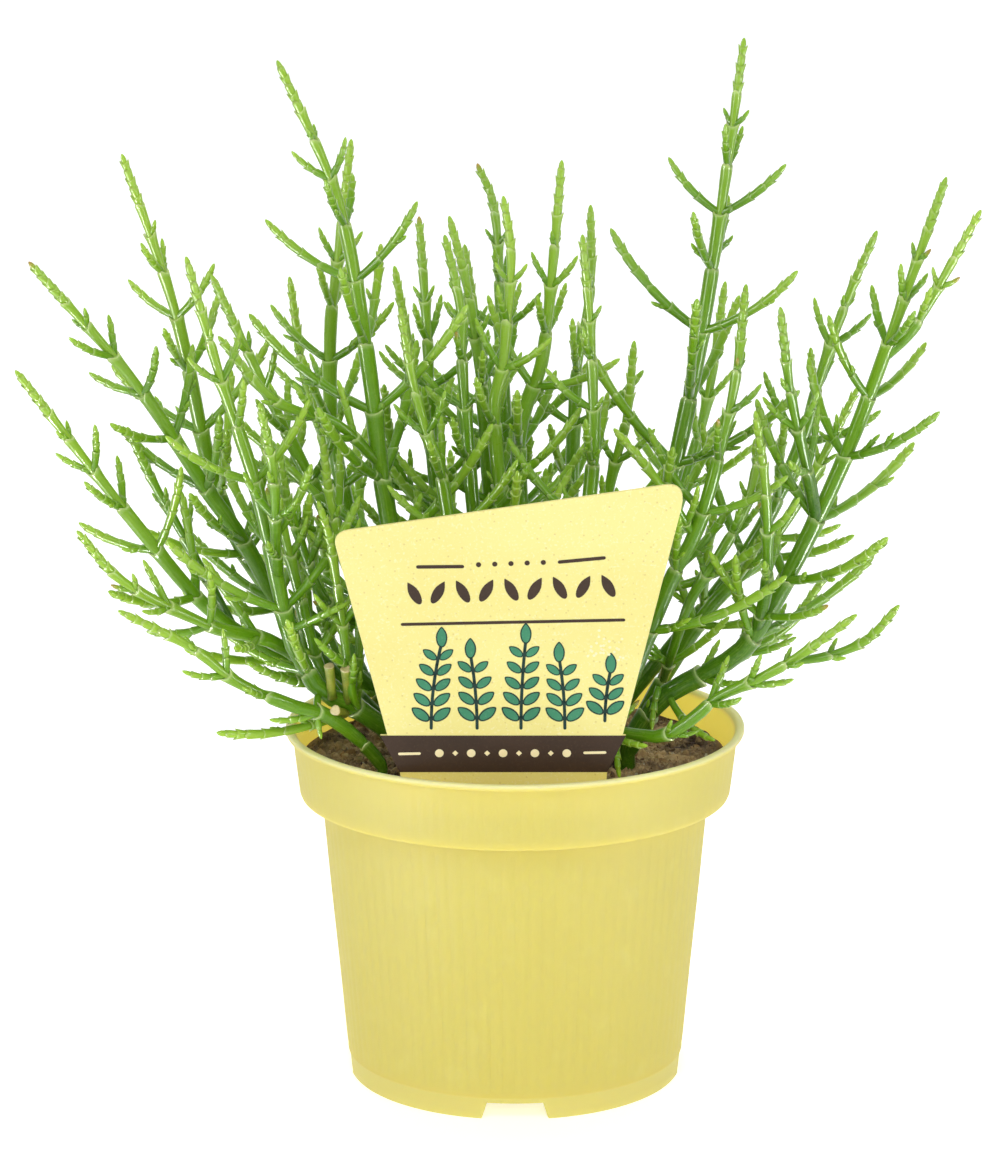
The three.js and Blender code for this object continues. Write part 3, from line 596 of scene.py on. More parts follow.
class Axis:
    """One stem or bough: its path, its joints from the tip down, and balls that fill it."""

    def __init__(self, points, girth, reach, turn, owner):
        self.path, self.girth, self.reach, self.turn, self.owner = Path(points), girth, reach, turn, owner
        self.branches = []
        length = self.path.length
        marks = []
        gone, k = 0.0, 0
        while gone + internode(k) < length - 4:
            gone += internode(k)
            k += 1
            marks.append((length - gone, k))
        side = FIRST_SIDE
        self.joints = []
        for s, k in reversed(marks):
            point, along = self.path.at(s)
            side = squared(side, along)
            self.joints.append((s, k, point, along, side))
        self.joints.reverse()
        count = math.floor(length / STEP)
        balls = []
        for j in range(count + 1):
            s = length * j / count
            near, passed = 0, 0.0
            while passed + internode(near) < length - s:
                passed += internode(near)
                near += 1
            balls.append((*self.path.at(s)[0], stem_radius(girth, near + 1), owner))
        self.balls = np.array(balls)


class Branch:
    """A side shoot that leaves along one direction and ends along another."""

    def __init__(self, start, leave, arrive, length, side):
        self.start, self.leave, self.arrive = start, leave, arrive
        self.length, self.radius, self.side = length, 0.85 + 0.012 * length, side

    def at(self, distance):
        q = distance / self.length
        left, bent = self.length * (q - q * q / 2), self.length * q * q / 2
        point = self.start + self.leave * left + self.arrive * bent
        return point, unit(self.leave * (1 - q) + self.arrive * q)

    def balls(self, owner):
        steps = max(4, math.floor(self.length / STEP))
        places = [(*self.at(self.length * j / steps)[0], self.radius * (1 - 0.45 * j / steps), owner)
                  for j in range(1, steps + 1)]
        return np.array(places)


def meets_fixed(balls):
    """True if a ball touches the card, the soil or the pot."""
    x, y, z, r = balls[:, :4].T
    off = y - CARD_Y + (z - RIM_Z) * CARD_LEAN
    half = CARD_HALF + np.maximum(0, z - RIM_Z) * CARD_SPREAD
    card = (np.abs(off) < r + CARD_GAP) & (z < CARD_TOP) & (np.abs(x - CARD_MIDDLE) < half + r + 1)
    out = np.hypot(x, y)
    soil = (z - r < SOIL_Z + FIXED_GAP) & (out < SOIL_EDGE)
    rim = (z - r < RIM_Z + FIXED_GAP) & (out + r > RIM_INSIDE) & (out - r < RIM_OUTSIDE)
    return bool((card | soil | rim).any())


def is_clear(branch, balls, taken, gap, own_gap):
    """True if a shoot keeps its gaps to all that has grown so far."""
    if meets_fixed(balls):
        return False
    reach = np.abs(taken[:, :3] - branch.start).max(1) < branch.length + NEIGHBOUR_REACH
    near = taken[reach]
    apart = np.sqrt(((near[None, :, :3] - balls[:, None, :3]) ** 2).sum(2))
    space = apart - near[None, :, 3] - balls[:, None, 3]
    own = near[:, 4] == balls[0, 4]
    if (space[:, ~own] < gap).any():
        return False
    away = np.sqrt(((balls[:, :3] - branch.start) ** 2).sum(1)) > OWN_ROOT
    return not (space[away][:, own] < own_gap).any()


def draws(seed):
    """The same run of numbers from 0 to 1 on every computer."""
    factor, prime = 16807, 2147483647
    state = seed
    while True:
        state = state * factor % prime
        yield state / prime


class Crowd:
    """The space that is taken so far."""

    def __init__(self, balls):
        self.balls = balls

    def take(self, balls):
        self.balls = np.concatenate([self.balls, balls])


def branch_length(k):
    """Full length of the side branches at joint k."""
    return min(LONGEST_BRANCH, 6 + 7 * (k - SPIKE_JOINTS - 1))


def pair_turn(turn, flip, k, draw, spread):
    """Degrees round the stem of one shoot of a pair. Each pair stands across the next."""
    return turn + flip + (90 if k % 2 else 0) + (draw - 0.5) * spread


def outward(side, back, degrees):
    """The direction away from a stem at a turn round it."""
    turn = math.radians(degrees)
    return side * math.cos(turn) + back * math.sin(turn)


def grow_branches(axis, seed, bare, crowd):
    """The long side branches, in crosswise pairs."""
    random = draws(seed)
    for s, k, point, along, side in axis.joints:
        if k <= SPIKE_JOINTS:
            continue
        back = np.cross(along, side)
        for flip in (0, 180):
            turn_draw, length_draw, tilt_draw = next(random), next(random), next(random)
            length = axis.reach * (0.88 + 0.24 * length_draw) * branch_length(k)
            if length < BRANCH_MIN or point[2] < bare:
                continue
            base = pair_turn(axis.turn, flip, k, turn_draw, TURN_SPREAD)
            tilt = math.radians(LONG_TILT + LONG_TILT_SPREAD * tilt_draw)
            for extra, part in TRIES:
                if length * part < BRANCH_MIN:
                    continue
                out = outward(side, back, base + extra)
                leave = along * math.cos(tilt) + out * math.sin(tilt)
                arrive = unit(along * 0.6 + UP * 0.3 + out * 0.6)
                branch = Branch(point, leave, arrive, length * part, along)
                balls = branch.balls(axis.owner)
                if is_clear(branch, balls, crowd.balls, *LONG_GAPS):
                    branch.k = k
                    axis.branches.append(branch)
                    crowd.take(balls)
                    break


def bough_axis(line, girth, reach, turn, owner):
    """A bough, led on a little way back into its stem."""
    before = 2 * np.array(line[0], float) - np.array(line[1], float)
    return Axis([before, *line], girth, reach, turn, owner)


def grow_plants():
    """All stems with their boughs and long branches, and the space that they take."""
    plants = []
    for owner, (name, foot, girth, reach, turn, bare, via, boughs) in enumerate(STEMS):
        points = [(*foot, SOIL_Z - 8), (*foot, COLLAR_Z), *via]
        axes = [Axis(points, girth, reach, turn, owner)]
        for b_girth, b_reach, b_turn, line in boughs:
            axes.append(bough_axis(line, b_girth, b_reach, b_turn, owner))
        plants.append((name, bare, axes))
    crowd = Crowd(np.concatenate([axis.balls for _, _, axes in plants for axis in axes]))
    seed = BRANCH_SEED
    for name, bare, axes in plants:
        for axis in axes:
            grow_branches(axis, seed, bare, crowd)
            seed += BRANCH_SEED_STEP
    owners = {name: owner for owner, (name, *rest) in enumerate(STEMS)}
    for name, girth, reach, turn, line in MORE_BOUGHS:
        axis = bough_axis(line, girth, reach, turn, owners[name])
        plants[axis.owner][2].append(axis)
        crowd.take(axis.balls)
    for name, *rest in MORE_BOUGHS:
        grow_branches(plants[owners[name]][2][-1], seed, BOUGHS_BARE_BELOW, crowd)
        seed += BRANCH_SEED_STEP
    return plants, crowd


def grow_short(axis, seed, bare, crowd):
    """Short side shoots below the spike, and wherever a long one found no room."""
    random = draws(seed)
    shoots = []
    for s, k, point, along, side in axis.joints:
        back = np.cross(along, side)
        for flip in (0, 180):
            turn_draw, length_draw, tilt_draw, chance = (next(random) for _ in range(4))
            share = SHARE_YOUNG if k < 10 else SHARE_OLD
            if k <= SPIKE_JOINTS or point[2] < bare - 14 or chance > share:
                continue
            out = outward(side, back, pair_turn(axis.turn, flip, k, turn_draw, TURN_SPREAD))
            if any(b.k == k and b.leave @ out > 0.3 for b in axis.branches):
                continue
            length = (0.8 + 0.35 * length_draw) * (branch_length(k) if k < 9 else 5 + 11 * chance)
            tilt = math.radians(SHORT_TILT + SHORT_TILT_SPREAD * tilt_draw)
            for part in (1, 0.7, 0.5):
                leave = along * math.cos(tilt) + out * math.sin(tilt)
                arrive = unit(along * 0.7 + UP * 0.3 + out * 0.45)
                branch = Branch(point, leave, arrive, length * part, along)
                balls = branch.balls(axis.owner)
                if is_clear(branch, balls, crowd.balls, *SHORT_GAPS):
                    shoots.append(branch)
                    crowd.take(balls)
                    break
    return shoots


def branch_steps(length):
    """Distances between a branch's joints from the tip down: a small spike, then longer ones."""
    small = 2 if length < 9 else 3
    steps = [min(2.7, length / small)] * small
    left = length - sum(steps)
    step = 4.6
    while left > step + 3:
        steps.append(step)
        left -= step
        step += 1.4
    return steps + [left] if left > 0.8 else steps


def grow_twigs(branch, seed, owner, crowd):
    """Small shoots on a long branch, in pairs turned a quarter each time."""
    random = draws(seed)
    steps = branch_steps(branch.length)
    twigs = []
    for i in range(FIRST_TWIG_JOINT, len(steps)):
        point, along = branch.at(branch.length - sum(steps[:i]))
        side = squared(branch.side, along)
        back = np.cross(along, side)
        for flip in (0, 180):
            chance, turn_draw, length_draw = next(random), next(random), next(random)
            if chance > SHARE_TWIGS:
                continue
            out = outward(side, back, pair_turn(0, flip, i, turn_draw, TWIG_TURN_SPREAD))
            leave = unit(along * 0.72 + out * 0.7)
            arrive = unit(along * 0.8 + UP * 0.3 + out * 0.3)
            length = 2.6 + 1.2 * (i - FIRST_TWIG_JOINT) + 3 * length_draw
            twig = Branch(point, leave, arrive, length, along)
            balls = twig.balls(owner)
            if is_clear(twig, balls, crowd.balls, *TWIG_GAPS):
                twigs.append(twig)
                crowd.take(balls)
    return twigs


# Stems as jointed skins

# Rings of an internode: place from its lower joint (0) to its collar (1), width from the neck (0) to
# the full width (1), and how much of the collar's two lobes it has.
STOUT = [(0.0, 0.0, 0.0), (0.04, 0.3, 0.0), (0.15, 0.62, 0.0), (0.45, 0.8, 0.0), (0.78, 0.9, 0.0),
         (0.92, 1.0, 0.25), (0.97, 1.12, 0.75), (1.0, 1.08, 1.0)]
SLENDER = [(0.0, 0.0, 0.0), (0.06, 0.12, 0.0), (0.25, 0.3, 0.0), (0.5, 0.48, 0.0), (0.76, 0.72, 0.0),
           (0.9, 0.98, 0.3), (0.965, 1.15, 0.8), (1.0, 1.1, 1.0)]
SPIKE = [(0.0, 0.0, 0.0), (0.35, 0.5, 0.0), (0.72, 0.95, 0.4), (1.0, 1.12, 1.0)]
TIP = [(0.0, 0.8), (0.3, 0.9), (0.55, 0.8), (0.78, 0.56), (0.93, 0.28)]


class Rod:
    """How a jointed rod looks: its sides, and its collars' neck, flare, lobe length and paleness, which is
    partly a painted highlight.
    """

    def __init__(self, sides, neck, flare, lobe, rim):
        self.sides, self.neck, self.flare, self.lobe, self.rim = sides, neck, flare, lobe, rim


MAIN = Rod(12, 0.76, 0.22, 0.62, 1.0)
SHOOT = Rod(8, 0.8, 0.18, 0.55, 0.6)
TWIG = Rod(6, 0.82, 0.14, 0.5, 0.3)
SPIKE_NECK = 0.78
# Joints are stout from this radius up, and slender below it.
SLIM = 1.7
ROOT_Z = 79.0


class Skin:
    """Points, faces and point values of one stem with all its shoots."""

    def __init__(self):
        self.points, self.faces, self.count = [], [], 0
        self.values = {key: [] for key in ("young", "pale", "tone", "brown", "strand")}

    def ring(self, points, **values):
        self.points.append(points)
        for key, store in self.values.items():
            value = values[key]
            store.append(value if isinstance(value, np.ndarray) else np.full(len(points), value))
        self.count += len(points)

    def rod(self, at, marks, radii, turns, side, look, young, tone, root=None, brown=0.0, phase=0.0):
        """A jointed rod along a path: marks are its joints from the start, radii and turns its collars."""
        start = self.count
        sides = look.sides
        angle = np.arange(sides) * 2 * math.pi / sides
        rings = 0
        length = marks[-1]

        def put(s, radius, lobe=0.0, turn=0.0, pale=0.0, dip=0.0, brown=0.0):
            nonlocal side, rings
            point, along = at(s)
            side = squared(side, along)
            across = np.cross(along, side)
            wave = np.cos(2 * (angle - turn))
            r = radius * (1 + look.flare * lobe * wave)
            lift = radius * look.lobe * lobe * np.maximum(wave, -0.4) - dip
            ring = (point + np.outer(r * np.cos(angle), side) + np.outer(r * np.sin(angle), across)
                    + np.outer(lift, along))
            strand = np.column_stack([r * np.cos(angle), r * np.sin(angle), np.full(sides, s + phase)])
            age = young[0] + (young[1] - young[0]) * s / length
            # The collar's pale rim, strongest on its lobes, is partly a painted highlight.
            rim = pale * (0.5 + 0.5 * np.maximum(wave, 0))
            self.ring(ring, young=age, pale=rim, tone=tone, brown=brown, strand=strand)
            rings += 1

        if root is not None:
            point, radius = root
            circle = [radius * np.cos(angle), radius * np.sin(angle), np.zeros(sides)]
            ring = point + np.column_stack(circle)
            self.ring(ring, young=young[0], pale=0.0, tone=tone, brown=0.0, strand=ring)
            rings += 1
        last = len(marks) - 2
        for i in range(last):
            low, high = marks[i], marks[i + 1]
            turn = turns[i]
            open_part = 0.5 if radii[i] > 1.9 else 1.0
            short = high - low < 4
            neck = SPIKE_NECK if short else look.neck - (0.08 if look is MAIN and radii[i] < SLIM else 0)
            # The rims' paleness is partly a painted highlight.
            rim = 0.35 * look.rim if short else look.rim
            for place, width, lobe in SPIKE if short else STOUT if radii[i] >= SLIM else SLENDER:
                radius = radii[i] * (neck + (1 - neck) * width)
                put(low + (high - low) * place, radius, lobe * open_part, turn, pale=rim * lobe ** 4)
            put(high, radii[i] * (0.76 if short else 0.68), 0.2, turn, pale=rim / 2, dip=radii[i] * 0.15)
        low, high = marks[last], marks[last + 1]
        for place, width in TIP:
            put(low + (high - low) * place, radii[last] * width, brown=brown * place, pale=0.0)
        tip = at(length)[0]
        end = np.array([[0, 0, length]])
        self.ring(tip[None, :], young=young[1], pale=0.0, tone=tone, brown=brown, strand=end)
        apex = self.count - 1
        self.faces += tube_faces(start, rings - 1, sides)
        last_ring = start + (rings - 1) * sides
        for j in range(sides):
            self.faces.append((last_ring + j, last_ring + (j + 1) % sides, apex))
        self.faces.append(tuple(start + j for j in reversed(range(sides))))


def branch_rod(skin, branch, tone, look, brown):
    """A side shoot or twig as a jointed rod."""
    steps = branch_steps(branch.length)
    marks = [0.0]
    for step in reversed(steps):
        marks.append(marks[-1] + step)
    narrow = [0.7, 0.88, 0.98, 1.05] + [1.0] * len(steps)
    count = len(steps)
    radii = [branch.radius * narrow[count - 1 - i] for i in range(count)]
    turns = [math.pi / 2 if (count - 1 - i) % 2 else 0.0 for i in range(count)]
    skin.rod(branch.at, marks, radii, turns, branch.side, look, (0.35, 0.95), tone,
             brown=brown, phase=branch.start[2])


def stem_rod(skin, axis, tone, rooted, brown):
    """A stem, rooted in the soil, or a bough."""
    length = axis.path.length
    marks = [0.0] + [s for s, *_ in reversed(axis.joints)] + [length]
    count = len(marks) - 1
    radii = [stem_radius(axis.girth, count - 1 - i) for i in range(count - 1)] + [0.8]
    turns = [math.radians(axis.turn + (90 if (count - 1 - i) % 2 else 0)) for i in range(count)]
    root = None
    if rooted:
        foot = axis.path.places[0]
        root = (np.array([foot[0], foot[1], ROOT_Z]), radii[0] * 0.9)
    old = 0.0 if length > 60 else 0.3
    skin.rod(axis.path.at, marks, radii, turns, FIRST_SIDE, MAIN, (old, 0.95), tone, root, brown)


# Single shoots low down: start, first direction, tip.
LOW_SHOOTS = {
    "big_right": [((37, -16.5, 108), (-0.3, -0.3, -0.9), (35.2, -21.9, 97.8)),
                  ((40, -17, 105), (0.4, -0.5, -0.75), (51.2, -27.7, 96.8))],
    "low_right": [((26, -34.5, 100), (-0.1, -0.8, -0.5), (26.5, -41, 90.5))],
    "thick_left": [((-57, -31.5, 127), (0.5, -0.5, 0.3), (-42, -38, 135.5)),
                   ((-42.2, -32, 118), (-0.2, -0.9, 0.2), (-50.5, -40, 127)),
                   ((-42, -31, 113), (0.2, -0.9, 0.3), (-40.5, -40, 123)),
                   ((-50, -30, 110), (-0.1, -0.8, -0.4), (-49, -38, 100))],
}


def shoot_between(start, leave, tip):
    """A side shoot from start to tip that leaves along one direction."""
    start, leave = np.array(start, float), unit(np.array(leave, float))
    reach = np.array(tip, float) - start
    length = reach @ reach / (reach @ leave)
    return Branch(start, leave, reach * 2 / length - leave, length, FIRST_SIDE)


def short_seed(number, owner):
    """A seed for the short shoots of each stem or bough."""
    return 5003 + 37 * number + 911 * owner


def twig_seed(number, owner):
    """A seed for the twigs of each branch."""
    return 77001 + 131 * number + 17 * owner


TONE_SEED = 90210
TONE_SPREAD = 0.24
# Strength of a browned tip, and the draws above which a stem's or a shoot's tip has it.
BROWNED, STEM_BROWN_ABOVE, SHOOT_BROWN_ABOVE = 0.9, 0.9, 0.96
TWIGS_FROM_LENGTH = 15


def build_stems():
    """Each stem with all its shoots as one skin, in its own tone of green."""
    plants, crowd = grow_plants()
    random = draws(TONE_SEED)
    for name, bare, axes in plants:
        shorts = [grow_short(axis, short_seed(i, axis.owner), bare, crowd) for i, axis in enumerate(axes)]
        skin = Skin()
        for number, axis in enumerate(axes):
            tone = (next(random) - 0.5) * TONE_SPREAD
            browned = BROWNED if next(random) > STEM_BROWN_ABOVE else 0.0
            stem_rod(skin, axis, tone, number == 0, browned)
            for b, branch in enumerate(axis.branches + shorts[number]):
                shade = tone + (next(random) - 0.5) * TONE_SPREAD
                browned = BROWNED if next(random) > SHOOT_BROWN_ABOVE else 0.0
                branch_rod(skin, branch, shade, SHOOT, browned)
                if branch.length > TWIGS_FROM_LENGTH:
                    for twig in grow_twigs(branch, twig_seed(b, axis.owner), axis.owner, crowd):
                        branch_rod(skin, twig, shade, TWIG, 0.0)
        for start, leave, tip in LOW_SHOOTS.get(name, []):
            branch_rod(skin, shoot_between(start, leave, tip), -0.1, SHOOT, 0.0)
        values = {key: np.concatenate(store) for key, store in skin.values.items()}
        points = np.concatenate(skin.points)
        piece = make_piece("plant_" + name, points, skin.faces, SKIN, attributes=values)
        finish_piece(piece, "stem", "stem_" + name)


build_stems()

# Old side shoots that were cut off: foot on the stem, and top.
STUBS = [((-46.5, -31, 109), (-47, -35, 118.5)), ((-42.5, -28.5, 107.5), (-42.8, -36, 118)),
         ((-43.5, -28, 104), (-45.6, -36, 107))]
# Place along the stub and radius of each ring, the last three round its cut end.
STUB_RINGS = [(0.0, 1.3), (0.3, 1.15), (0.6, 1.2), (0.9, 1.3), (0.985, 1.35), (1.0, 1.15), (0.985, 0.7)]
STUB_SIDES = 12
FIRST_PITH_ROW = 4


def build_stubs():
    """Short round stubs with uneven skin and pale pith at the cut."""
    points, faces = [], []
    for foot, top in STUBS:
        foot, top = np.array(foot, float), np.array(top, float)
        along = unit(top - foot)
        side = squared(FIRST_SIDE, along)
        across = np.cross(along, side)
        start = len(points)
        for place, radius in STUB_RINGS:
            for i in range(STUB_SIDES):
                a = 2 * math.pi * i / STUB_SIDES
                r = radius * (1 + 0.08 * math.cos(3 * a + 9 * place))
                middle = foot + (top - foot) * place
                points.append(middle + side * r * math.cos(a) + across * r * math.sin(a))
        rows = len(STUB_RINGS) - 1
        faces += tube_faces(start, rows, STUB_SIDES)
        faces.append(tuple(start + i for i in reversed(range(STUB_SIDES))))
        faces.append(tuple(start + rows * STUB_SIDES + i for i in range(STUB_SIDES)))
    stubs = make_piece("cut_stubs", np.array(points), faces, [FINISHES["stub_skin"], FINISHES["cut_pith"]])
    each = len(faces) // len(STUBS)
    for number, face in enumerate(stubs.data.polygons):
        row = number % each // STUB_SIDES
        on_skin = row < FIRST_PITH_ROW or number % each == each - 2
        face.material_index = 0 if on_skin else 1
    finish_piece(stubs, "stem")


build_stubs()

# Pot

# Radius and height, with a line each for the underside, the foot, the mould line, the wall, the step,
# the band, the lip's outer and inner side, the inner step, and the inner wall with the floor.
POT_PROFILE = [
    (0, 5), (20, 5), (32, 5), (41.35, 5), (41.65, 4.7),
    (41.7, 2.5), (41.7, 0.3), (41.95, 0), (43.55, 0), (43.8, 0.3), (43.95, 2.5), (44.17, 5.5),
    (44.31, 5.75), (44.35, 6.05), (44.29, 6.3),
    (44.65, 10), (46.27, 28), (48.38, 50), (50.5, 73.9),
    (50.62, 75.2), (51.0, 75.7), (51.5, 75.8), (55.6, 75.8), (56.15, 76.0), (56.4, 76.6),
    (57.3, 84), (58.15, 91.7),
    (58.35, 92.25), (58.8, 92.4), (59.4, 92.4), (59.85, 92.55), (60, 92.9), (60, 93.5), (59.85, 93.85),
    (59.4, 94), (58.7, 94), (58.3, 93.85), (57.7, 93.2), (57.1, 92.2),
    (56.2, 84), (55.35, 77.7), (55.0, 77.1), (54.4, 76.9), (50.1, 76.7), (49.6, 76.3), (49.4, 75.4),
    (47.1, 50), (45.0, 28), (43.1, 7), (42.8, 6.4), (42.2, 6.2), (30, 6.2), (0, 6.2),
]
# Outer wall as heights and radii; upright flutes as low, high, count, height.
OUTER_WALL = ([6.3, 10, 28, 50, 73.9, 76.6, 84, 91.7],
              [44.29, 44.65, 46.27, 48.38, 50.5, 56.4, 57.3, 58.15])
FLUTES = [(6.6, 74.4, 90, 0.15), (77.0, 91.6, 120, 0.09)]
POT_COLUMNS = 720
# Flutes fade over this height at their ends, and only points this near the outer wall have them.
FLUTE_FADE, WALL_NEAR = 1.5, 0.25
# Four notches in the foot: half width at the ground and at the top, and height.
NOTCH_LOW = math.degrees(8.5 / 42.3)
NOTCH_HIGH = math.degrees(7.1 / 42.3)
NOTCH_RISE = 4.5
# Drain holes, in the ring of the raised floor.
DRAIN_COUNT, DRAIN_REACH, DRAIN_Z = 6, 27, 5.6
DRAIN_RADIUS, DRAIN_DEPTH = 0.004, 0.006
# Where the inner wall has a painted glow for light through the wall, and where the lip (a painted
# highlight) and the foot change their tone.
INNER_LOW, INNER_HIGH = 77, 93.3
LIP_LOW, FOOT_HIGH, TONE_EDGE = 92.8, 6.2, 0.8


def fluted(profile):
    """The profile with more steps along its straight outer walls."""
    fine = []
    for (r, z), (r2, z2) in zip(profile, profile[1:]):
        fine.append((r, z))
        if z2 - z > 3:
            count = 3 + int((z2 - z) / 5)
            fine += [(r + (r2 - r) * i / count, z + (z2 - z) * i / count) for i in range(1, count)]
    return fine + [profile[-1]]


def notched_foot(points):
    """Lifts the foot's underside at the four notches."""
    x, y, z = points.T
    angle = np.degrees(np.arctan2(y, x))
    off = np.abs((angle + 45) % 90 - 45)
    rise = np.clip((NOTCH_LOW - off) / (NOTCH_LOW - NOTCH_HIGH), 0, 1) * NOTCH_RISE
    foot = (np.hypot(x, y) > 41) & (z < 4.9)
    points[foot, 2] = np.maximum(z[foot], rise[foot])


def flute_walls(points):
    """Raises fine upright flutes on the body and on the band."""
    out = np.hypot(points[:, 0], points[:, 1])
    for low, high, count, height in FLUTES:
        z = points[:, 2]
        inside = np.clip(np.minimum(z - low, high - z) / FLUTE_FADE, 0, 1)
        inside *= np.abs(out - np.interp(z, *OUTER_WALL)) < WALL_NEAR
        turn = np.arctan2(points[:, 1], points[:, 0])
        grow = 1 + inside * height * (np.abs(np.cos(turn * count / 2)) - 0.6) / np.maximum(out, 1)
        points[:, :2] *= grow[:, None]


def drain_drill():
    """Round plugs, to cut the drain holes with."""
    bm = bmesh.new()
    for i in range(DRAIN_COUNT):
        turn = 2 * math.pi * (i + 0.5) / DRAIN_COUNT
        place = [DRAIN_REACH * math.cos(turn), DRAIN_REACH * math.sin(turn), DRAIN_Z]
        bmesh.ops.create_cone(bm, cap_ends=True, segments=40, radius1=DRAIN_RADIUS, radius2=DRAIN_RADIUS,
                              depth=DRAIN_DEPTH, matrix=Matrix.Translation(Vector(to_frame(place)[0])))
    return object_of(bm, "drill")


def build_pot():
    """The pot as one turned shell with flutes, notches, drain holes and its tones."""
    points, faces = turned(fluted(POT_PROFILE), POT_COLUMNS)
    flute_walls(points)
    notched_foot(points)
    z = points[:, 2]
    wall = np.interp(z, *OUTER_WALL)
    # Mask of the inner wall's painted glow.
    inner_glow_mask = (z > INNER_LOW) & (z < INNER_HIGH) & (np.hypot(points[:, 0], points[:, 1]) < wall - 0.6)
    # The lip's tone is a painted highlight on its top.
    tones = {"inner_glow_mask": inner_glow_mask, "lip_highlight": np.clip((z - LIP_LOW) / TONE_EDGE, 0, 1),
             "foot": np.clip((FOOT_HIGH - z) / TONE_EDGE, 0, 1)}
    pot = make_piece("nursery_pot", points, faces, PLASTIC, attributes=tones)
    drill = drain_drill()
    cut = pot.modifiers.new("drain", "BOOLEAN")
    cut.operation = "DIFFERENCE"
    cut.solver = "EXACT"
    cut.object = drill
    pot = as_plain_mesh(pot, "nursery_pot")
    bpy.data.objects.remove(drill)
    finish_piece(pot, "pot_plastic", "pot")


build_pot()


# Soil


def crumb_tree():
    """Crumbs scattered on a surface, at random size and turn, kept as real mesh."""
    tree = bpy.data.node_groups.new("crumbs_on_soil", "GeometryNodeTree")
    source, result = sheet_of_sockets(tree, [
        ("Ground", "NodeSocketGeometry", None),
        ("Crumb", "NodeSocketObject", None),
        ("Density", "NodeSocketFloat", 1000.0),
        ("Smallest", "NodeSocketFloat", 0.4),
        ("Largest", "NodeSocketFloat", 1.0),
        ("Seed", "NodeSocketInt", 1),
        ("Finish", "NodeSocketMaterial", None),
    ], [("Geometry", "NodeSocketGeometry")])
    scatter = add(tree, "GeometryNodeDistributePointsOnFaces", distribute_method="RANDOM")
    given = source.outputs
    feed(tree, scatter, Mesh=given["Ground"], Density=given["Density"], Seed=given["Seed"])
    shape = feed(tree, add(tree, "GeometryNodeObjectInfo"), Object=given["Crumb"])
    turn = add(tree, "FunctionNodeRandomValue", data_type="FLOAT_VECTOR")
    feed(tree, turn, at1=(6.28, 6.28, 6.28), Seed=given["Seed"])
    size = add(tree, "FunctionNodeRandomValue", data_type="FLOAT")
    feed(tree, size, at2=given["Smallest"], at3=given["Largest"], Seed=given["Seed"])
    placed = add(tree, "GeometryNodeInstanceOnPoints")
    feed(tree, placed, Points=scatter.outputs["Points"], Instance=shape.outputs["Geometry"])
    feed(tree, placed, Rotation=turn.outputs[0], Scale=size.outputs[1])
    real = feed(tree, add(tree, "GeometryNodeRealizeInstances"), Geometry=placed.outputs[0])
    painted = add(tree, "GeometryNodeSetMaterial")
    feed(tree, painted, Geometry=real.outputs[0], Material=given["Finish"])
    feed(tree, result, Geometry=painted.outputs[0])
    return tree


def crumb_shape(name, size, flat, rough, seed):
    """A closed lump: a ball pushed in and out by seeded noise."""
    bm = bmesh.new()
    bmesh.ops.create_icosphere(bm, subdivisions=1, radius=1)
    rng = np.random.default_rng(seed)
    for v in bm.verts:
        v.co *= 1 + rough * (rng.random() - 0.5)
        v.co = Vector((v.co.x, v.co.y * (0.75 + 0.25 * flat), v.co.z * flat)) * size * 0.001
    return object_of(bm, name)


def soil_height(x, y):
    """Low mounds and hollows of the soil's surface."""
    wave = 0.5 * math.sin(x * 0.23 + 1.1) * math.cos(y * 0.19 + 0.4) + 0.35 * math.sin(x * 0.47 - y * 0.39)
    return SOIL_Z - 0.75 + 0.5 * wave


SOIL_COLUMNS = 120
GROUND_COLUMNS = 60
# Crumbs: name, finish, density, smallest and largest share of the size, size, flatness, roughness, seed.
CRUMBS = [
    ("soil_crumbs", COMPOST, 520000, 0.35, 1.0, 1.15, 0.7, 0.8, 11),
    ("soil_clods", COMPOST, 52000, 0.4, 1.0, 2.4, 0.7, 0.7, 23),
    ("soil_peat", FINISHES["tan_peat"], 60000, 0.4, 1.0, 1.4, 0.6, 0.8, 29),
    ("soil_fibres", FINISHES["straw_fibre"], 9000, 0.4, 1.0, 2.6, 0.18, 0.5, 37),
    ("soil_grains", FINISHES["pale_grain"], 6000, 0.5, 1.0, 1.0, 0.8, 0.5, 51),
]


def build_soil():
    """The body of the soil, and crumbs of five kinds on its mounds."""
    radii = [0.0, 3, 6, 9, 12, 15, 18, 21, 24, 27, 30, 33, 36, 39, 42, 44, 46, 48, 50, 51.5, 53, 54.4, 55.6]
    profile = [(0, 6.6), (40, 6.6), (42.1, 6.9), (48.7, 76.9), (54.4, 77.7), (55.7, 84)]
    profile += [(r, SOIL_Z) for r in reversed(radii)]
    points, faces = turned(profile, SOIL_COLUMNS)
    for p in points:
        if p[2] > SOIL_Z - 1:
            p[2] = soil_height(p[0], p[1])
    soil = make_piece("compost", points, faces, COMPOST)
    finish_piece(soil, "soil", "soil")
    top_points = []
    for r in radii[1:-1]:
        for a in np.linspace(0, 2 * math.pi, GROUND_COLUMNS, endpoint=False):
            x, y = r * math.cos(a), r * math.sin(a)
            top_points.append((x, y, soil_height(x, y)))
    top_faces = tube_faces(0, len(radii) - 3, GROUND_COLUMNS)
    tree = crumb_tree()
    for name, finish, density, small, large, size, flat, rough, seed in CRUMBS:
        ground = make_piece("ground_" + name, top_points, top_faces, finish)
        shape = crumb_shape("shape_" + name, size, flat, rough, seed)
        crumbs = run_tree(ground, tree, name, Crumb=shape, Density=float(density),
                          Smallest=small, Largest=large, Seed=seed, Finish=finish)
        bpy.data.objects.remove(shape)
        finish_piece(crumbs, "soil")


build_soil()

# Card

CARD_THICK = 0.8
CARD_TILT = math.atan(CARD_LEAN)


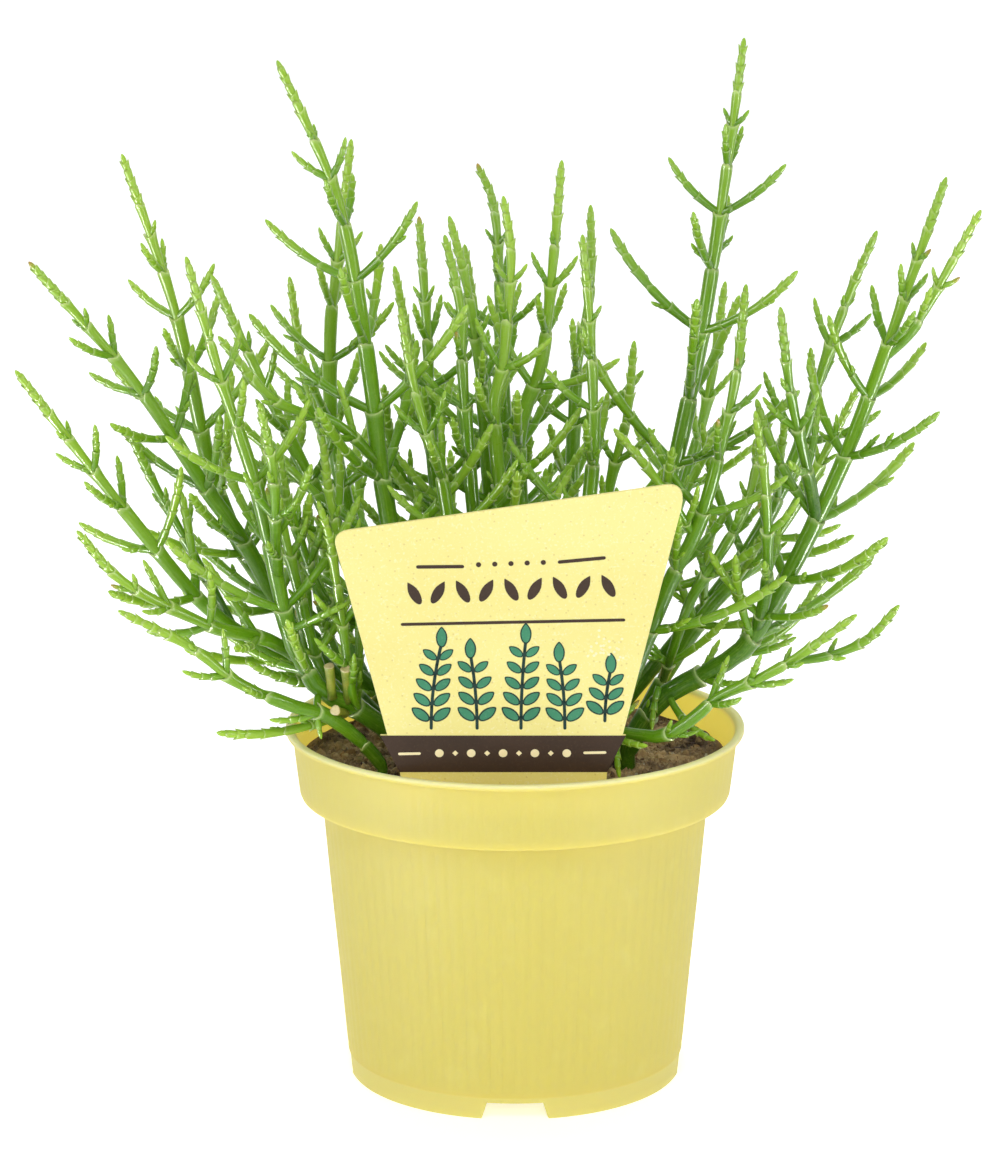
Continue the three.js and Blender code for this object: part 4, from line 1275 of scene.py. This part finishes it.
def on_card(u, v, w):
    """Card place: u to the right, v up from the rim, w out of the front face."""
    return (u, CARD_Y - v * math.sin(CARD_TILT) - w * math.cos(CARD_TILT),
            RIM_Z + v * math.cos(CARD_TILT) - w * math.sin(CARD_TILT))


def corner(before, at, after, count=6):
    """A rounded corner as points."""
    points = []
    for i in range(count + 1):
        t = i / count
        shares = ((1 - t) ** 2, 2 * t * (1 - t), t * t)
        points.append(tuple(shares[0] * a + shares[1] * b + shares[2] * c
                            for a, b, c in zip(before, at, after)))
    return points


CARD_OUTLINE = [(-27, -16.6), (22, -16.6), (23.2, 0), (27.8, 10), (27, 10), (40.9, 70.6)]
CARD_OUTLINE += corner((40.9, 70.6), (42.4, 77.6), (36.9, 76.8))[1:]
CARD_OUTLINE += corner((-41, 65), (-45.2, 64.3), (-44.2, 60.5))
CARD_OUTLINE += [(-32, 10), (-33.8, 10), (-29, 0)]


def plate(outline, low, high, chamfer=0.0):
    """Points and faces of a flat plate on the card, from depth low to depth high."""
    count = len(outline)
    layers = [(low, 0.0), (high, 0.0)]
    if chamfer:
        layers = [(low, chamfer), (low + chamfer, 0), (high - chamfer, 0), (high, chamfer)]
    points = []
    for w, inset in layers:
        for i, (u, v) in enumerate(outline):
            before, after = np.array(outline[i - 1]), np.array(outline[(i + 1) % count])
            edge = after - before
            out = np.array([edge[1], -edge[0]]) / (np.linalg.norm(edge) + 1e-9)
            place = np.array([u, v]) - out * inset
            points.append(on_card(place[0], place[1], w))
    faces = tube_faces(0, len(layers) - 1, count)
    faces.append(tuple(reversed(range(count))))
    faces.append(tuple((len(layers) - 1) * count + i for i in range(count)))
    return points, faces


def build_card():
    """The card with its stake, its edges a little broken."""
    points, faces = plate(CARD_OUTLINE, -CARD_THICK / 2, CARD_THICK / 2, 0.12)
    card = make_piece("pot_card", points, faces, CARD, smooth=False)
    finish_piece(card, "card", "label")


build_card()

# Print

# How far a printed shape is sunk into the card, and the turns of the points round a line's end.
PRINT_SUNK = 0.05
ROUND_END = (0.8, 1.57, 2.35)
# Sprigs: the foot's two places, height, lean.
SPRIGS = [(-21, 12, 23, 0.12), (-9.5, 12, 20, -0.08), (1.5, 12, 24, 0.05), (12.5, 12, 19, -0.08),
          (22.5, 14, 14, 0.1)]
SPRIG_PARTS = 8
PAIR_STEP = 4.6
SPECKLE_SEED = 8
SPECKLES = 26


class Print:
    """Flat inked shapes on the card's front, all of one ink."""

    def __init__(self, depth):
        self.points, self.faces, self.depth = [], [], depth

    def shape(self, outline):
        start = len(self.points)
        points, faces = plate(outline, CARD_THICK / 2 - PRINT_SUNK, CARD_THICK / 2 + self.depth)
        self.points += points
        self.faces += [tuple(start + i for i in face) for face in faces]

    def bar(self, a, b, width):
        """A line with round ends."""
        a, b = np.array(a, float), np.array(b, float)
        along = (b - a) / np.linalg.norm(b - a)
        side = np.array([-along[1], along[0]]) * width / 2
        ahead = along * width / 2
        ends = [tuple(a - side), tuple(b - side)]
        ends += [tuple(b + ahead * math.sin(t) - side * math.cos(t)) for t in ROUND_END]
        ends += [tuple(b + side), tuple(a + side)]
        ends += [tuple(a - ahead * math.sin(t) + side * math.cos(t)) for t in ROUND_END]
        self.shape(ends)

    def blob(self, centre, wide, tall, turn=0.0, count=20, point=0.0):
        """A dot or a leaf, which may run to a point at its upper end."""
        c, s = math.cos(turn), math.sin(turn)
        outline = []
        for i in range(count):
            t = 2 * math.pi * i / count
            narrow = 1 - point * math.sin(t) ** 2 if math.sin(t) > 0 else 1
            x, y = wide / 2 * math.cos(t) * narrow, tall / 2 * math.sin(t)
            outline.append((centre[0] + x * c - y * s, centre[1] + x * s + y * c))
        self.shape(outline)

    def finish(self, name, ink):
        piece = make_piece(name, self.points, self.faces, ink, smooth=False)
        finish_piece(piece, "card")


def print_sprig(dark, green, u, v, tall, lean):
    """A leaning sprig: its stalk, pairs of leaves and one leaf at the top, each with a dark edge."""
    for i in range(SPRIG_PARTS):
        a, b = i / SPRIG_PARTS, (i + 1) / SPRIG_PARTS
        dark.bar((u + lean * tall * a * a, v + tall * a), (u + lean * tall * b * b, v + tall * b), 0.8)
    pairs = int(tall / PAIR_STEP)
    for i in range(pairs):
        f = (i + 0.6) / (pairs + 0.6)
        cu, cv = u + lean * tall * f * f, v + tall * f
        size = 1.15 - 0.35 * f
        for side in (-1, 1):
            leaf = (cu + side * 2.4 * size, cv + 1.2 * size)
            dark.blob(leaf, 2.6 * size, 5.0 * size, turn=-side * 0.9, point=0.4)
            green.blob(leaf, 1.9 * size, 4.2 * size, turn=-side * 0.9, point=0.4)
    leaf = (u + lean * tall, v + tall + 1.6)
    dark.blob(leaf, 2.9, 5.6, point=0.5)
    green.blob(leaf, 2.2, 4.8, point=0.5)


def build_print():
    """A generic print: the band, rules, dots, a row of leaves and five sprigs, in four inks."""
    brown, dark, green, cream = Print(0.05), Print(0.06), Print(0.09), Print(0.08)
    brown.shape([(-33.8, 10), (-29, 0), (23.2, 0), (27.8, 10)])
    for side in (-1, 1):
        brown.bar((side * 12 - 1, 56 + side * 0.6), (side * 23 - 1, 56.5 + side * 1.2), 0.9)
    for i in range(-2, 3):
        brown.blob((i * 4 - 1, 56.2 + i * 0.15), 1.3, 1.3)
    for i in range(9):
        brown.blob((-25 + i * 6, 48.3 + i * 0.25), 2.6, 6.6, turn=-0.5 if i % 2 else 0.5, point=0.7)
    brown.bar((-28, 40), (27, 41.2), 0.8)
    for sprig in SPRIGS:
        print_sprig(dark, green, *sprig)
    rng = np.random.default_rng(SPECKLE_SEED)
    for _ in range(SPECKLES):
        cream.blob((18 + 9 * rng.random(), 30 + 8.5 * rng.random()), 0.7, 0.7, count=10)
    for i in range(9):
        size, sides = (1.5, 4) if i % 2 else (2.2, 14)
        cream.blob((-19 + i * 4.0, 5.2), size, size, count=sides)
    cream.bar((-29, 5.0), (-24, 5.1), 0.7)
    cream.bar((17.5, 5.3), (22.6, 5.4), 0.7)
    for piece, ink in zip((brown, dark, green, cream), INKS):
        piece.finish("print_" + ink.replace("_ink", ""), FINISHES[ink])


build_print()

# Floor and light

FLOOR_HALF_WIDTH = 6000
FLOOR_NEAR, FLOOR_BEND, FLOOR_TOP = -3000, 1500, 4000
BEND_RADIUS = 1200


def floor_finish():
    """White paper that glows, so that the floor stays as pale as the world behind it."""
    material, tree, shader = plain_finish(
        "floor_white", (0.9, 0.9, 0.9, 1), (0.89, 0.89, 0.89, 1), (0.91, 0.91, 0.91, 1),
        3.0, 40.0, 0.3, 200.0, 0.02, 0.9)
    feed(tree, shader, Emission_Color=(1, 1, 1, 1), Emission_Strength=0.5)
    return material


def build_floor():
    """A pale floor that curves up far behind the plant."""
    line = [(FLOOR_NEAR, 0), (FLOOR_BEND, 0)]
    line += [(FLOOR_BEND + BEND_RADIUS * math.sin(t), BEND_RADIUS - BEND_RADIUS * math.cos(t))
             for t in np.linspace(0.1, math.pi / 2, 16)]
    line += [(FLOOR_BEND + BEND_RADIUS, FLOOR_TOP)]
    points, faces = [], []
    for y, z in line:
        points += [(-FLOOR_HALF_WIDTH, y, z), (FLOOR_HALF_WIDTH, y, z)]
    for i in range(len(line) - 1):
        faces.append((2 * i, 2 * i + 1, 2 * i + 3, 2 * i + 2))
    floor = make_piece("floor", points, faces, floor_finish())


build_floor()


def area_light(name, place, target, size, power):
    """A round soft light, its size in metres."""
    data = bpy.data.lights.new(name, "AREA")
    data.shape = "DISK"
    data.size = size
    data.energy = power
    light = bpy.data.objects.new(name, data)
    light.location = to_frame(place)[0]
    away = Vector(to_frame(target)[0]) - light.location
    light.rotation_euler = away.to_track_quat("-Z", "Y").to_euler()
    bpy.context.collection.objects.link(light)


def strip_light(name, degrees, away, height, tilt, power):
    """A long narrow light beside the camera, on the floor or upright. Only gloss sees it."""
    turn = math.radians(degrees)
    data = bpy.data.lights.new(name, "AREA")
    data.shape = "RECTANGLE"
    data.size, data.size_y = 1.5, 0.08
    data.energy = power
    light = bpy.data.objects.new(name, data)
    light.location = to_frame([away * math.cos(turn), away * math.sin(turn), height])[0]
    light.rotation_euler = (math.pi, math.radians(tilt), turn)
    light.visible_diffuse = False
    bpy.context.collection.objects.link(light)


area_light("key", (-200, -1200, 1450), (0, 0, 120), 0.9, 8.2)
area_light("front", (200, -1230, 600), (0, 0, 170), 0.3, 3.2)
area_light("top", (0, 500, 1700), (0, 0, 120), 1.4, 9)
for side, degrees, power in (("left", -149, 26), ("right", -31, 18)):
    strip_light(side + "_floor_strip", degrees, 1000, 8, 0, power)
    strip_light(side + "_tall_strip", degrees, 1760, 780, -90, power)
world = bpy.data.worlds.new("studio")
world.use_nodes = True
world.node_tree.nodes["Background"].inputs["Color"].default_value = (1, 1, 1, 1)
world.node_tree.nodes["Background"].inputs["Strength"].default_value = 0.3
bpy.context.scene.world = world
bpy.context.scene.view_settings.view_transform = "Standard"
